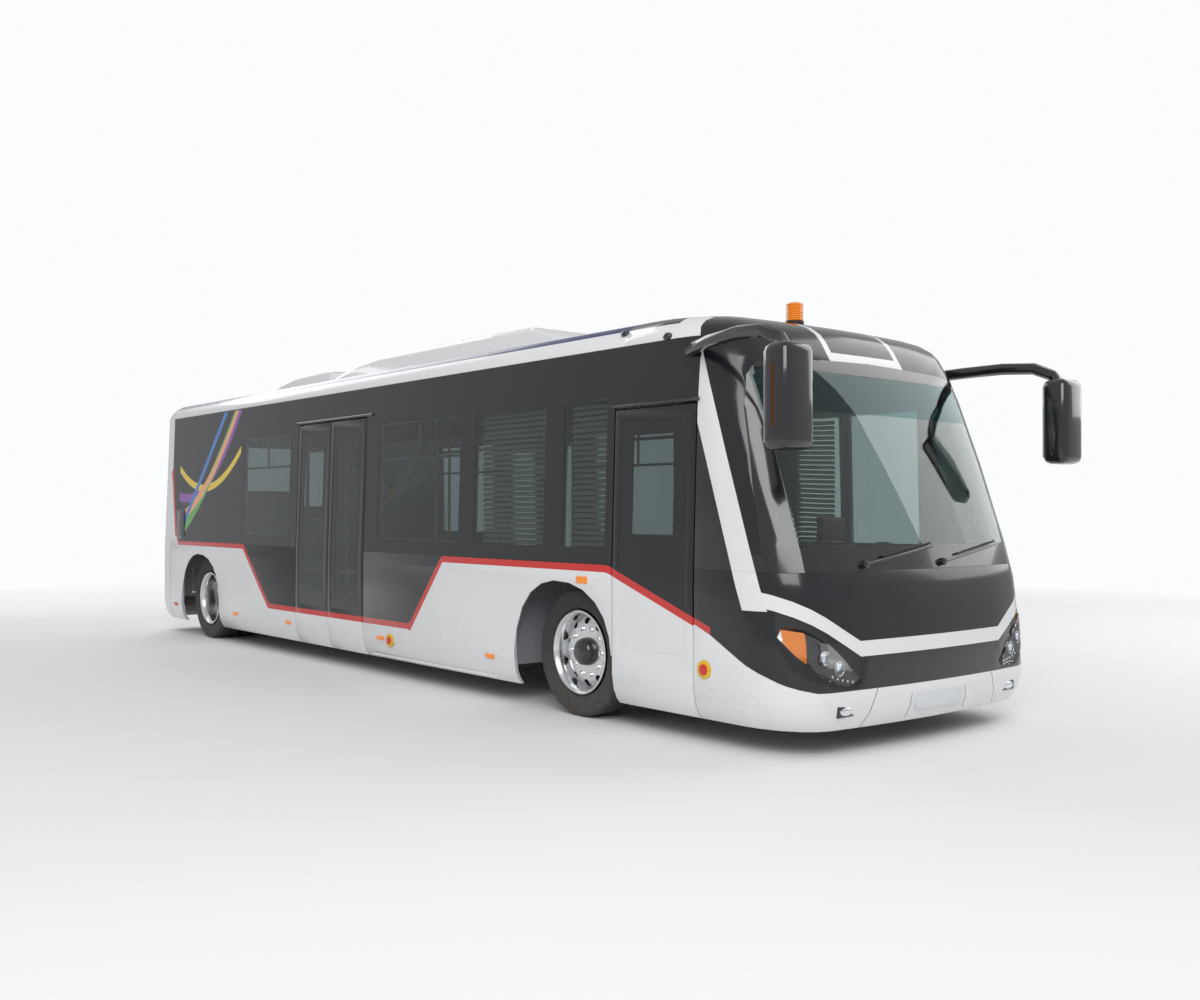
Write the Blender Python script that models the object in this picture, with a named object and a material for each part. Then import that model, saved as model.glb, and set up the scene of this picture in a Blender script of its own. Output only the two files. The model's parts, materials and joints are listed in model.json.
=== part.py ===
"""Airport apron bus: low floor, outswing doors, twin rear wheels and a wrapped glass front.

Lengths are in metres.  X runs across the bus (+X is the driver's side, -X the kerb side with the front door),
Y runs along it (the front is at -Y) and Z is up.  Pieces are modelled in stations, which are Y positions
counted rearwards from the front axle, and hang on one empty that carries the front axle to its place.
"""
import math

import bmesh
import bpy
from mathutils import Matrix, Vector

# ---------------------------------------------------------------- driving sizes
HALF_WIDTH = 1.275          # body side from the centre plane
NOSE = -2.175               # foremost point of the bumper
ROOF = 2.80                 # crown of the roof
SKIRT = 0.155               # lower edge of the body
CANT = 2.56                 # seam between the side glass and the cant band
WAIST = 1.09                # lower seam of the side glass
WHEELBASE = 6.81
REAR_OVERHANG = 1.44
TAIL = WHEELBASE + REAR_OVERHANG         # rear face
FIT = 0.0003                # gap between two pieces that touch
SEAM = 0.0006               # gap between two body panels
WALL = 0.040                # wall and roof thickness
LEAF = 0.035                # door leaf thickness
GLASS = 0.008
GLASS_REBATE = 0.0083       # depth of the seat that a pane lies in

# body shape: each row is (height, value), heights in metres above the ground
SIDE_INSET = (              # how far the side lies inside HALF_WIDTH
    (SKIRT, 0.070), (0.190, 0.043), (0.250, 0.017), (0.360, 0.0), (1.0, 0.0), (CANT, 0.046),
    (ROOF - 0.18, 0.062), (ROOF - 0.13, 0.095), (ROOF - 0.09, 0.150), (ROOF - 0.055, 0.280),
    (ROOF - 0.03, 0.520), (ROOF - 0.01, 0.840), (ROOF, 1.075))
NOSE_SETBACK = (            # how far the centre of the front lies behind NOSE
    (SKIRT, 0.055), (0.250, 0.012), (0.360, 0.0), (0.680, 0.020), (1.0, 0.062), (1.240, 0.125),
    (1.800, 0.310), (2.240, 0.475), (2.420, 0.555), (CANT, 0.640), (ROOF - 0.18, 0.690),
    (ROOF - 0.13, 0.765), (ROOF - 0.09, 0.870), (ROOF - 0.055, 1.050), (ROOF - 0.03, 1.300),
    (ROOF - 0.01, 1.750), (ROOF, 2.400))
TAIL_SETBACK = (            # how far the rear face lies ahead of TAIL
    (SKIRT, 0.070), (0.250, 0.012), (0.360, 0.0), (1.0, 0.0), (CANT, 0.020), (ROOF - 0.18, 0.040),
    (ROOF - 0.13, 0.080), (ROOF - 0.09, 0.150), (ROOF - 0.055, 0.300), (ROOF - 0.03, 0.450),
    (ROOF - 0.01, 0.650), (ROOF, 0.850))
NOSE_BOW = 0.10             # the front face's bow from the centre to the side
CORNER_WIDTH = 0.28
CORNER_LENGTH = 0.40
TAIL_CORNER = 0.22

# front panels
DOOR_POST = -1.255          # front edge of the front doorway
MASK_END = -0.53            # seam between the front mask and the roof
BUMPER_TOP = (              # (station, height) of the bumper's upper edge, from the nose to the door post
    (-2.40, 0.390), (-2.09, 0.390), (-1.95, 0.430), (-1.70, 0.530), (-1.40, 0.690), (-1.20, 0.770))
WINDSHIELD = (              # (half width, height) down the side edge of the windshield
    (0.900, 2.400), (1.020, 2.360), (1.085, 2.290), (1.130, 2.100), (1.180, 1.600), (1.205, 1.250))
WINDSHIELD_TOP = 2.420
HEADLIGHT = (               # (half width, height) round the headlight
    (0.735, 0.440), (0.800, 0.405), (0.930, 0.425), (1.060, 0.495), (1.165, 0.610), (1.222, 0.720),
    (1.205, 0.775), (1.130, 0.760), (1.000, 0.680), (0.860, 0.570))
LAMP_PROUD = 0.006
LAMP_DEPTH = 0.060

# doors
DOOR_GAP = 0.012            # running gap round a leaf
FRONT_DOOR = (-1.243, -0.460, 2.130)     # (front edge, rear edge, top) of the leaf
MID_DOOR = (3.040, 4.410, 2.290)
MID_SPLIT_GAP = 0.008       # gap between the two leaves of the mid door
DOOR_SWING = 150.0          # degrees that a door arm turns
PIVOT_INSET = 0.105         # door pivots inside HALF_WIDTH
PIVOT_FROM_EDGE = 0.050     # pillar from the leaf's hinge edge
ARM_NECK = 0.150            # how far the arm reaches out of the pillar before it turns
ARM_HALF = 0.016
PILLAR_RADIUS = 0.018
ARM_BELOW_SILL = 0.075      # lower arm below the pane
ARM_BELOW_TOP = 0.050       # upper arm below the leaf's top
BRACKET = 0.014             # thickness of a leaf bracket
BRACKET_GAP = 0.006
PIN_RADIUS = 0.009
PIN_CLEARANCE = 0.0004
DOOR_PANE_MARGIN = 0.095    # leaf frame round the pane
DOOR_PANE_SILL = 0.560
PANE_LAP = 0.018            # how far a pane laps over its opening

# windows behind the side glass: (front, rear, sill, head)
WINDOW_SILL = 1.200
WINDOW_HEAD = 2.220
SIDE_WINDOWS = ((-0.37, 0.11), (0.33, 1.25), (1.47, 2.78), (4.60, 5.72), (5.95, 6.98))
DRIVER_WINDOW = (-1.13, -0.47)

# wheels
TYRE_RADIUS = 0.453
TYRE_WIDTH = 0.275
RIM_SEAT = 0.287            # bead seat radius
RIM_FLANGE = 0.300
TYRE_FACE = HALF_WIDTH - 0.070           # outer face of the tyres from the centre plane
TWIN_PITCH = 0.310
HUB_BORE = 0.050
WHEEL_SEGMENTS = 24
KINGPIN = 1.020
STEER_LIMIT = 38.0
ARCH = (                    # (offset from the axle, height) round the wheel arch, front to rear
    (-0.450, 0.0), (-0.450, 0.46), (-0.426, 0.60), (-0.368, 0.725), (-0.274, 0.825),
    (-0.140, 0.903), (0.020, 0.946), (0.200, 0.955), (0.350, 0.925), (0.480, 0.855), (0.585, 0.740),
    (0.655, 0.580), (0.685, 0.400), (0.692, 0.0))
ARCH_SKIN = 0.012           # wall thickness left round the arch
WELL_FRONT = 0.485          # wheelhouse ahead of the axle
WELL_REAR = 0.700
WELL_TOP = 1.000
WELL_INNER_FRONT = 0.620    # inner wall of the front wheelhouse from the centre plane
WELL_INNER_REAR = 0.520
SHEET = 0.012               # wheelhouse sheet

# floor and frame
FLOOR_TOP = 0.340
FLOOR = 0.040
RAIL_BOTTOM = 0.250
UPPER_RAIL_BOTTOM = 0.660   # rails under the rear platform
CROSS_MEMBERS = (-1.85, -0.75, 0.95, 2.80, 4.55, 5.78)
REAR_MEMBER = TAIL - 0.29
RAIL_X = 0.430              # centre of a frame rail
RAIL_HALF = 0.035
CAB_FRONT = -1.900          # front end of the floor
PLATFORM_FRONT = WHEELBASE - 0.910       # step up to the rear platform
PLATFORM_TOP = 0.820
PLATFORM_END = TAIL - 0.100

# rear end
REAR_SEAM = TAIL - 0.350     # seam between the side walls and the rear shell
HATCH = (0.880, 0.430, 1.300)            # (half width, lower edge, upper edge)
REAR_WINDOW = (0.950, 1.480, 2.300)
HATCH_GAP = 0.006

# roof
ROOF_UNIT = (0.550, 4.600, 0.780, 2.950)     # (front, rear, half width, top)
ROOF_POD = (4.850, 6.220, 0.700, 2.930)
BEACON = (-0.960, 0.0675, 2.940)             # (station, radius, top)

# mirrors
MIRROR = (1.446, -2.190, 2.090)              # centre of the head
MIRROR_HALF = (0.130, 0.095, 0.300)          # half width, depth and height of the head
MIRROR_ARM = (                               # (half width, station, height) along the arm
    (1.120, -1.080, 2.520), (1.235, -1.180, 2.470), (1.330, -1.450, 2.490), (1.390, -1.750, 2.500),
    (1.425, -1.980, 2.485), (1.443, -2.120, 2.425), (1.446, -2.185, 2.340))
MIRROR_ARM_RADIUS = 0.042

MIDDLE = (MIRROR[1] - MIRROR_HALF[1] + TAIL) / 2     # station half way along the whole bus


# ---------------------------------------------------------------- shape helpers
def read(table, height):
    """Value of a (height, value) table at a height, by straight lines."""
    for (low, first), (high, second) in zip(table, table[1:]):
        if height <= high:
            share = max(0.0, (height - low) / (high - low))
            return first + share * (second - first)
    return table[-1][1]


def take(name, mesh):
    """A new object in the scene that holds the mesh."""
    item = bpy.data.objects.new(name, mesh)
    bpy.context.scene.collection.objects.link(item)
    return item


def from_bmesh(bm, name="piece"):
    bmesh.ops.recalc_face_normals(bm, faces=bm.faces)
    mesh = bpy.data.meshes.new(name)
    bm.to_mesh(mesh)
    bm.free()
    return take(name, mesh)


def box(x_low, x_high, y_low, y_high, z_low, z_high):
    bm = bmesh.new()
    bmesh.ops.create_cube(bm, size=1.0)
    low = Vector((min(x_low, x_high), y_low, z_low))
    high = Vector((max(x_low, x_high), y_high, z_high))
    for vertex in bm.verts:
        vertex.co = Vector([low[k] + (vertex.co[k] + 0.5) * (high[k] - low[k]) for k in range(3)])
    return from_bmesh(bm)


def prism(outline, axis, low, high):
    """Closed prism: a 2-D outline extruded along an axis; the outline's pairs are the other two axes in order."""
    bm = bmesh.new()
    index = "XYZ".index(axis)

    def place(pair, level):
        values = list(pair)
        values.insert(index, level)
        return Vector(values)

    vertices = [bm.verts.new(place(pair, low)) for pair in outline]
    face = bm.faces.new(vertices)
    moved = bmesh.ops.extrude_face_region(bm, geom=[face])["geom"]
    shift = place((0.0, 0.0), high) - place((0.0, 0.0), low)
    bmesh.ops.translate(bm, vec=shift, verts=[v for v in moved if isinstance(v, bmesh.types.BMVert)])
    return from_bmesh(bm)


def revolve(profile, centre, segments=WHEEL_SEGMENTS, axis="X"):
    """Closed turned solid: profile pairs are (place along the axis, radius), and radius 0 closes on the axis."""
    bm = bmesh.new()
    loops = []
    for along, radius in profile:
        if radius == 0.0:
            loops.append([bm.verts.new((along, 0.0, 0.0))])
            continue
        turn = [2 * math.pi * (k + 0.5) / segments - math.pi / 2 for k in range(segments)]
        loops.append([bm.verts.new((along, radius * math.cos(a), radius * math.sin(a))) for a in turn])
    for first, second in zip(loops, loops[1:] + loops[:1]):
        if len(first) == 1 and len(second) == 1:
            continue
        for k in range(segments):
            corners = [first[k % len(first)], first[(k + 1) % len(first)],
                       second[(k + 1) % len(second)], second[k % len(second)]]
            unique = list(dict.fromkeys(corners))
            bm.faces.new(unique)
    if axis == "Z":
        for vertex in bm.verts:
            vertex.co = Vector((vertex.co.y, vertex.co.z, vertex.co.x))
    bmesh.ops.translate(bm, vec=Vector(centre), verts=bm.verts)
    return from_bmesh(bm)


def post(x, y, z_low, z_high, radius, segments=10):
    """Upright cylinder."""
    return revolve(((z_low, 0.0), (z_low, radius), (z_high, radius), (z_high, 0.0)), (x, y, 0.0), segments, "Z")


def tube(points, radius, sides=8):
    """Round bar along points."""
    curve = bpy.data.curves.new("tube", "CURVE")
    curve.dimensions = "3D"
    curve.bevel_depth = radius
    curve.bevel_resolution = sides // 4
    curve.use_fill_caps = True
    spline = curve.splines.new("POLY")
    spline.points.add(len(points) - 1)
    for slot, point in zip(spline.points, points):
        slot.co = (*point, 1.0)
    item = bpy.data.objects.new("tube", curve)
    bpy.context.scene.collection.objects.link(item)
    mesh = bpy.data.meshes.new_from_object(item.evaluated_get(bpy.context.evaluated_depsgraph_get()))
    bpy.data.objects.remove(item)
    bpy.data.curves.remove(curve)
    bm = bmesh.new()
    bm.from_mesh(mesh)
    bpy.data.meshes.remove(mesh)
    bmesh.ops.remove_doubles(bm, verts=bm.verts, dist=0.00001)
    return from_bmesh(bm)


def tidy(mesh):
    """Merge flat neighbours that a Boolean split, and drop the folded pairs of faces it may leave."""
    bm = bmesh.new()
    bm.from_mesh(mesh)
    bmesh.ops.remove_doubles(bm, verts=bm.verts, dist=0.000005)
    bmesh.ops.dissolve_degenerate(bm, edges=bm.edges, dist=0.000005)
    by_corners = {}
    for face in bm.faces:
        by_corners.setdefault(frozenset(face.verts), []).append(face)
    folded = [face for faces in by_corners.values() if len(faces) > 1 for face in faces]
    bmesh.ops.delete(bm, geom=folded, context="FACES")
    bmesh.ops.dissolve_limit(bm, angle_limit=0.0002, verts=bm.verts, edges=bm.edges)
    bm.to_mesh(mesh)
    bm.free()


def combine(target, tools, operation):
    """Apply a Boolean with each tool in turn, and remove the tools."""
    for tool in tools:
        modifier = target.modifiers.new("combine", "BOOLEAN")
        modifier.operation = operation
        modifier.solver = "EXACT"
        modifier.object = tool
        graph = bpy.context.evaluated_depsgraph_get()
        mesh = bpy.data.meshes.new_from_object(target.evaluated_get(graph))
        tidy(mesh)
        target.modifiers.clear()
        old = target.data
        target.data = mesh
        bpy.data.meshes.remove(old)
        bpy.data.objects.remove(tool)
    return target


def cut(target, *tools):
    return combine(target, tools, "DIFFERENCE")


def join(target, *tools):
    return combine(target, tools, "UNION")


def keep(target, *tools):
    return combine(target, tools, "INTERSECT")


def mirrored(outline):
    """An outline of (half width, height) pairs with its mirror image, as one closed loop."""
    return [(x, z) for x, z in outline] + [(-x, z) for x, z in reversed(outline)]


def on_side(side, outline):
    return [(side * x, z) for x, z in outline]


# ---------------------------------------------------------------- body hull
NOSE_STEPS = 3
CORNER_STEPS = 5
TAIL_STEPS = 3


def half_ring(height, inward):
    """Plan outline of the body at a height, moved inwards: (half width, station) from the nose to the tail."""
    half = HALF_WIDTH - read(SIDE_INSET, height) - inward
    front = NOSE + read(NOSE_SETBACK, height) + inward
    rear = TAIL - read(TAIL_SETBACK, height) - inward
    corner = min(CORNER_WIDTH, half / 2)
    points = []
    for k in range(NOSE_STEPS):
        x = (half - corner) * k / NOSE_STEPS
        points.append((x, front + NOSE_BOW * (x / half) ** 2))
    for k in range(CORNER_STEPS + 1):
        angle = math.pi / 2 * k / CORNER_STEPS
        x = half - corner + corner * math.sin(angle)
        points.append((x, front + NOSE_BOW * (x / half) ** 2 + CORNER_LENGTH * (1 - math.cos(angle))))
    corner = min(TAIL_CORNER, half / 2)
    for k in range(TAIL_STEPS + 1):
        angle = math.pi / 2 * k / TAIL_STEPS
        points.append((half - corner + corner * math.cos(angle), rear - corner + corner * math.sin(angle)))
    points.append((0.0, rear))
    return points


def hull(inward, open_below=False):
    """The whole body as one solid, with its surface moved inwards by a distance."""
    heights = sorted({height for table in (SIDE_INSET, NOSE_SETBACK, TAIL_SETBACK) for height, _ in table})
    levels = [(height, height - (inward if height > CANT else 0.0)) for height in heights]
    if open_below:
        levels.insert(0, (heights[0], heights[0] - 0.1))
    bm = bmesh.new()
    rings = []
    for height, level in levels:
        half = half_ring(height, inward)
        around = half + [(-x, y) for x, y in half[-2:0:-1]]
        rings.append([bm.verts.new((x, y, level)) for x, y in around])
    count = len(rings[0])
    for low, high in zip(rings, rings[1:]):
        for k in range(count):
            after = (k + 1) % count
            bm.faces.new((low[k], low[after], high[after], high[k]))
    bm.faces.new(rings[0])
    bm.faces.new(rings[-1])
    bmesh.ops.triangulate(bm, faces=bm.faces)
    return from_bmesh(bm)


def shell(outer, inner):
    """The layer of the body between two depths below its surface, open at the skirt."""
    return cut(hull(outer), hull(inner, open_below=True))


FAR = 12.0


def region(y_low=-FAR, y_high=FAR, z_low=-FAR, z_high=FAR, x_low=-FAR, x_high=FAR):
    return box(x_low, x_high, y_low, y_high, z_low, z_high)


# ---------------------------------------------------------------- materials and naming
MATERIALS = {               # colour, metallic, roughness
    "white_paint": ((0.86, 0.87, 0.88), 0.0, 0.25),
    "black_gloss": ((0.02, 0.02, 0.025), 0.0, 0.15),
    "dark_glass": ((0.05, 0.06, 0.07), 0.0, 0.06),
    "tyre_rubber": ((0.03, 0.03, 0.03), 0.0, 0.85),
    "polished_alloy": ((0.80, 0.81, 0.82), 1.0, 0.25),
    "chassis_steel": ((0.06, 0.06, 0.065), 0.6, 0.5),
    "cast_iron": ((0.18, 0.18, 0.19), 0.8, 0.6),
    "amber_lens": ((0.95, 0.38, 0.03), 0.0, 0.15),
    "lamp_lens": ((0.80, 0.82, 0.85), 0.1, 0.08),
    "floor_vinyl": ((0.25, 0.26, 0.28), 0.0, 0.6),
    "seat_leather": ((0.20, 0.14, 0.10), 0.0, 0.5),
    "dash_plastic": ((0.05, 0.05, 0.055), 0.0, 0.55),
    "battery_case": ((0.30, 0.32, 0.34), 0.3, 0.5),
}


def material(name):
    found = bpy.data.materials.get(name)
    if found:
        return found
    colour, metallic, roughness = MATERIALS[name]
    made = bpy.data.materials.new(name)
    made.use_nodes = True
    shader = made.node_tree.nodes["Principled BSDF"]
    shader.inputs["Base Color"].default_value = (*colour, 1.0)
    shader.inputs["Metallic"].default_value = metallic
    shader.inputs["Roughness"].default_value = roughness
    return made


def finish(item, name, finish_name, smooth=False, pivot=None):
    """Name a piece, give it its material, put its origin on its joint and hang it on the frame empty."""
    item.name = name
    item.data.name = name
    item.data.materials.clear()
    item.data.materials.append(material(finish_name))
    if smooth:
        item.data.shade_smooth()
        item.data.set_sharp_from_angle(angle=math.radians(35))
    if pivot:
        item.data.transform(Matrix.Translation(-Vector(pivot)))
        item.location = pivot
    item.parent = FRAME
    return item


# ---------------------------------------------------------------- body panels
def arch_cutters(side, station):
    """The wheel arch through the skin, and the wider relief behind it."""
    outline = [(station + offset, height) for offset, height in ARCH]
    outline[0] = (outline[0][0], -0.2)
    outline[-1] = (outline[-1][0], -0.2)
    through = prism(outline, "X", *sorted((side * 0.3, side * 2.0)))
    relief = region(station - WELL_FRONT, station + WELL_REAR, -0.2, WELL_TOP, *sorted((side * 0.3, side * 2.0)))
    relief = keep(relief, hull(ARCH_SKIN, open_below=True))
    return through, relief


def windows_for(side):
    rows = list(SIDE_WINDOWS)
    if side > 0:
        rows.append(DRIVER_WINDOW)
    return rows


def doorways(side):
    """(front, rear, top) of each doorway on a side, with the running gap."""
    rows = [MID_DOOR]
    if side < 0:
        rows.append(FRONT_DOOR)
    return [(front - DOOR_GAP, rear + DOOR_GAP, top + DOOR_GAP) for front, rear, top in rows]


def side_panels(side, word, body_side, pane_side):
    """Side wall with doorways, windows and arches cut, and the bonded glass that covers it."""
    half_space = sorted((side * 0.9, side * 2.0))
    wall = keep(body_side, region(DOOR_POST + SEAM / 2, REAR_SEAM - SEAM / 2, -1.0, CANT - SEAM / 2, *half_space))
    pane = keep(pane_side, region(DOOR_POST + SEAM, REAR_SEAM - SEAM, WAIST + SEAM, CANT - 2 * SEAM, *half_space))
    seat = keep(shell(-0.01, GLASS_REBATE),
                region(DOOR_POST - 0.1, REAR_SEAM + 0.1, WAIST, CANT + 0.1, *half_space))
    cut(wall, seat)
    for front, rear, top in doorways(side):
        cut(wall, region(front, rear, -1.0, top, *half_space))
        cut(pane, region(front, rear, -1.0, top, *half_space))
    for front, rear in windows_for(side):
        cut(wall, region(front, rear, WINDOW_SILL, WINDOW_HEAD, *half_space))
    for station in (0.0, WHEELBASE):
        cut(wall, *arch_cutters(side, station))
    finish(wall, "side_wall_" + word, "white_paint")
    finish(pane, "side_glass_" + word, "dark_glass")


def bumper_outline():
    """(station, height) outline below the bumper's upper edge, for a prism along X."""
    rows = list(BUMPER_TOP)
    return rows + [(rows[-1][0], -1.0), (rows[0][0], -1.0)]


def windshield_outline(grow):
    """(x, height) outline of the windshield, grown all round."""
    rows = [(0.0, WINDSHIELD_TOP + grow)]
    rows += [(x + grow, z + (grow if x < 1.05 else 0.0)) for x, z in WINDSHIELD]
    rows += [(WINDSHIELD[-1][0] + grow + 0.004, WAIST - 0.2)]
    return rows[1:] + [(-x, z) for x, z in reversed(rows)]


def front_panels(body):
    """Mask with the pillars and dome, windshield, front panel and bumper, cut from one layer of the body."""
    lamp_outline = {side: on_side(side, HEADLIGHT) for side in (-1, 1)}
    lamp_window = sorted((-3.0, -1.0))
    bumper = copy_of(body)
    keep(bumper, region(y_high=DOOR_POST - SEAM / 2), prism(bumper_outline(), "X", -2.0, 2.0))

    panel = copy_of(body)
    keep(panel, region(y_high=DOOR_POST - SEAM / 2, z_high=WAIST - SEAM / 2))
    grown = [(station, height + SEAM) for station, height in bumper_outline()]
    cut(panel, prism(grown, "X", -2.0, 2.0))
    for side in (-1, 1):
        cut(panel, prism(lamp_outline[side], "Y", *lamp_window))
        cut(bumper, prism(lamp_outline[side], "Y", *lamp_window))

    mask = copy_of(body)
    lower = region(y_high=DOOR_POST - SEAM / 2, z_low=WAIST + SEAM / 2)
    upper = region(y_high=MASK_END - SEAM / 2, z_low=CANT + SEAM / 2)
    keep(mask, join(lower, upper))
    glass_hole = prism(windshield_outline(0.0), "Y", -3.0, -1.2)
    seat = keep(shell(-0.01, GLASS_REBATE), prism(windshield_outline(PANE_LAP), "Y", -3.0, -1.2),
                region(z_low=WAIST - 0.1))
    cut(mask, seat, glass_hole)

    windshield = keep(shell(0.0, GLASS), prism(windshield_outline(PANE_LAP - SEAM), "Y", -3.0, -1.2),
                      region(z_low=WAIST + SEAM / 2))
    finish(bumper, "front_bumper", "white_paint")
    finish(panel, "front_panel", "black_gloss")
    finish(mask, "front_mask", "black_gloss")
    finish(windshield, "windshield", "dark_glass")
    for side, word in SIDES:
        lens = keep(shell(-LAMP_PROUD, LAMP_DEPTH), prism(shrink(lamp_outline[side], 0.001), "Y", *lamp_window))
        finish(lens, "headlight_" + word, "lamp_lens")


def shrink(outline, amount):
    """Outline drawn in towards its middle by about an amount."""
    middle = Vector((sum(p[0] for p in outline) / len(outline), sum(p[1] for p in outline) / len(outline)))
    moved = []
    for pair in outline:
        point = Vector(pair)
        moved.append(tuple(point + (middle - point).normalized() * amount))
    return moved


def copy_of(item):
    return take("copy", item.data.copy())


def rear_panels(body):
    """Rear shell with its window and the hatch that covers the motor."""
    frame = keep(copy_of(body), region(y_low=REAR_SEAM + SEAM / 2, z_high=CANT - SEAM / 2))
    half, low, high = HATCH
    cut(frame, box(-half, half, TAIL - 0.5, TAIL + 0.5, low, high))
    half_window, sill, head = REAR_WINDOW
    cut(frame, box(-half_window, half_window, TAIL - 0.5, TAIL + 0.5, sill, head))
    lap = PANE_LAP
    seat = keep(shell(-0.01, GLASS_REBATE),
                box(-half_window - lap, half_window + lap, TAIL - 0.5, TAIL + 0.5, sill - lap, head + lap))
    cut(frame, seat)
    lap = PANE_LAP - SEAM
    pane = keep(shell(0.0, GLASS),
                box(-half_window - lap, half_window + lap, TAIL - 0.5, TAIL + 0.5, sill - lap, head + lap))
    gap = HATCH_GAP
    hatch = keep(copy_of(body), box(-half + gap, half - gap, TAIL - 0.5, TAIL + 0.5, low + gap, high - SEAM))
    finish(frame, "rear_shell", "white_paint")
    finish(pane, "rear_glass", "dark_glass")
    finish(hatch, "rear_hatch", "white_paint", pivot=(0.0, TAIL, high - SEAM))


# ---------------------------------------------------------------- doors
def door_rows():
    """name, side, hinge edge station, far edge station, top of each leaf."""
    middle = (MID_DOOR[0] + MID_DOOR[1]) / 2
    rows = [("front_door", -1, FRONT_DOOR[0], FRONT_DOOR[1], FRONT_DOOR[2])]
    for side, word in SIDES:
        rows.append((f"mid_door_{word}_front", side, MID_DOOR[0], middle - MID_SPLIT_GAP / 2, MID_DOOR[2]))
        rows.append((f"mid_door_{word}_rear", side, MID_DOOR[1], middle + MID_SPLIT_GAP / 2, MID_DOOR[2]))
    return rows


def turned(point, pivot, degrees):
    """A plan point turned about a pivot."""
    angle = math.radians(degrees)
    dx = point[0] - pivot[0]
    dy = point[1] - pivot[1]
    return (pivot[0] + dx * math.cos(angle) - dy * math.sin(angle),
            pivot[1] + dx * math.sin(angle) + dy * math.cos(angle))


def door(name, side, hinge_edge, far_edge, top):
    """One outswing leaf with its pane, and the pillar with two swan-neck arms that carries it."""
    low_edge, high_edge = sorted((hinge_edge, far_edge))
    outside = sorted((side * 0.9, side * 2.0))
    leaf = keep(shell(0.0, LEAF), region(low_edge, high_edge, -1.0, top, *outside))
    margin = DOOR_PANE_MARGIN
    opening = (low_edge + margin, high_edge - margin, DOOR_PANE_SILL, top - margin)
    cut(leaf, region(*opening, *outside))
    lap = PANE_LAP
    rebate = (opening[0] - lap, opening[1] + lap, opening[2] - lap, opening[3] + lap)
    cut(leaf, keep(shell(-0.01, GLASS_REBATE), region(*rebate, *outside)))
    lap = PANE_LAP - SEAM
    seat = (opening[0] - lap, opening[1] + lap, opening[2] - lap, opening[3] + lap)
    pane = keep(shell(0.0, GLASS), region(*seat, *outside))

    rearward = 1 if far_edge > hinge_edge else -1
    pivot_x = side * (HALF_WIDTH - PIVOT_INSET)
    pillar = (pivot_x, hinge_edge + rearward * PIVOT_FROM_EDGE)
    hinge = (pivot_x, (low_edge + high_edge) / 2)
    swing = -side * rearward * DOOR_SWING
    elbow = turned((pivot_x + side * ARM_NECK, pillar[1]), pillar, -swing)

    arm = post(*pillar, FLOOR_TOP + FIT, top - ARM_BELOW_TOP + ARM_HALF + 0.010, PILLAR_RADIUS)
    reach = ARM_HALF + BRACKET_GAP + BRACKET
    for height in (DOOR_PANE_SILL - ARM_BELOW_SILL, top - ARM_BELOW_TOP):
        join(arm, bar(pillar, elbow, height), bar(elbow, hinge, height))
        join(arm, post(*hinge, height - reach, height + reach, PIN_RADIUS))
        for low in (height - reach, height + reach - BRACKET):
            ear = region(hinge[1] - 0.02, hinge[1] + 0.02, low, low + BRACKET,
                         *sorted((side * (HALF_WIDTH - PIVOT_INSET - 0.018), side * (HALF_WIDTH + 0.1))))
            keep(ear, hull(LEAF - 0.004))
            bore_radius = (PIN_RADIUS + PIN_CLEARANCE) / math.cos(math.pi / 10)
            join(leaf, cut(ear, post(*hinge, low - 0.03, low + 0.03, bore_radius)))
    finish(leaf, name + "_leaf", "white_paint", pivot=(*hinge, 0.0))
    finish(pane, name + "_glass", "dark_glass", pivot=(*hinge, 0.0))
    finish(arm, name + "_arm", "chassis_steel", pivot=(*pillar, 0.0))


def bar(start, end, height):
    """Flat bar between two plan points, a little long at both ends."""
    first = Vector(start)
    second = Vector(end)
    along = (second - first).normalized()
    across = Vector((-along.y, along.x)) * ARM_HALF
    first = first - along * ARM_HALF * 0.9
    second = second + along * ARM_HALF * 0.9
    outline = [first - across, second - across, second + across, first + across]
    return prism([tuple(p) for p in outline], "Z", height - ARM_HALF, height + ARM_HALF)


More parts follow.
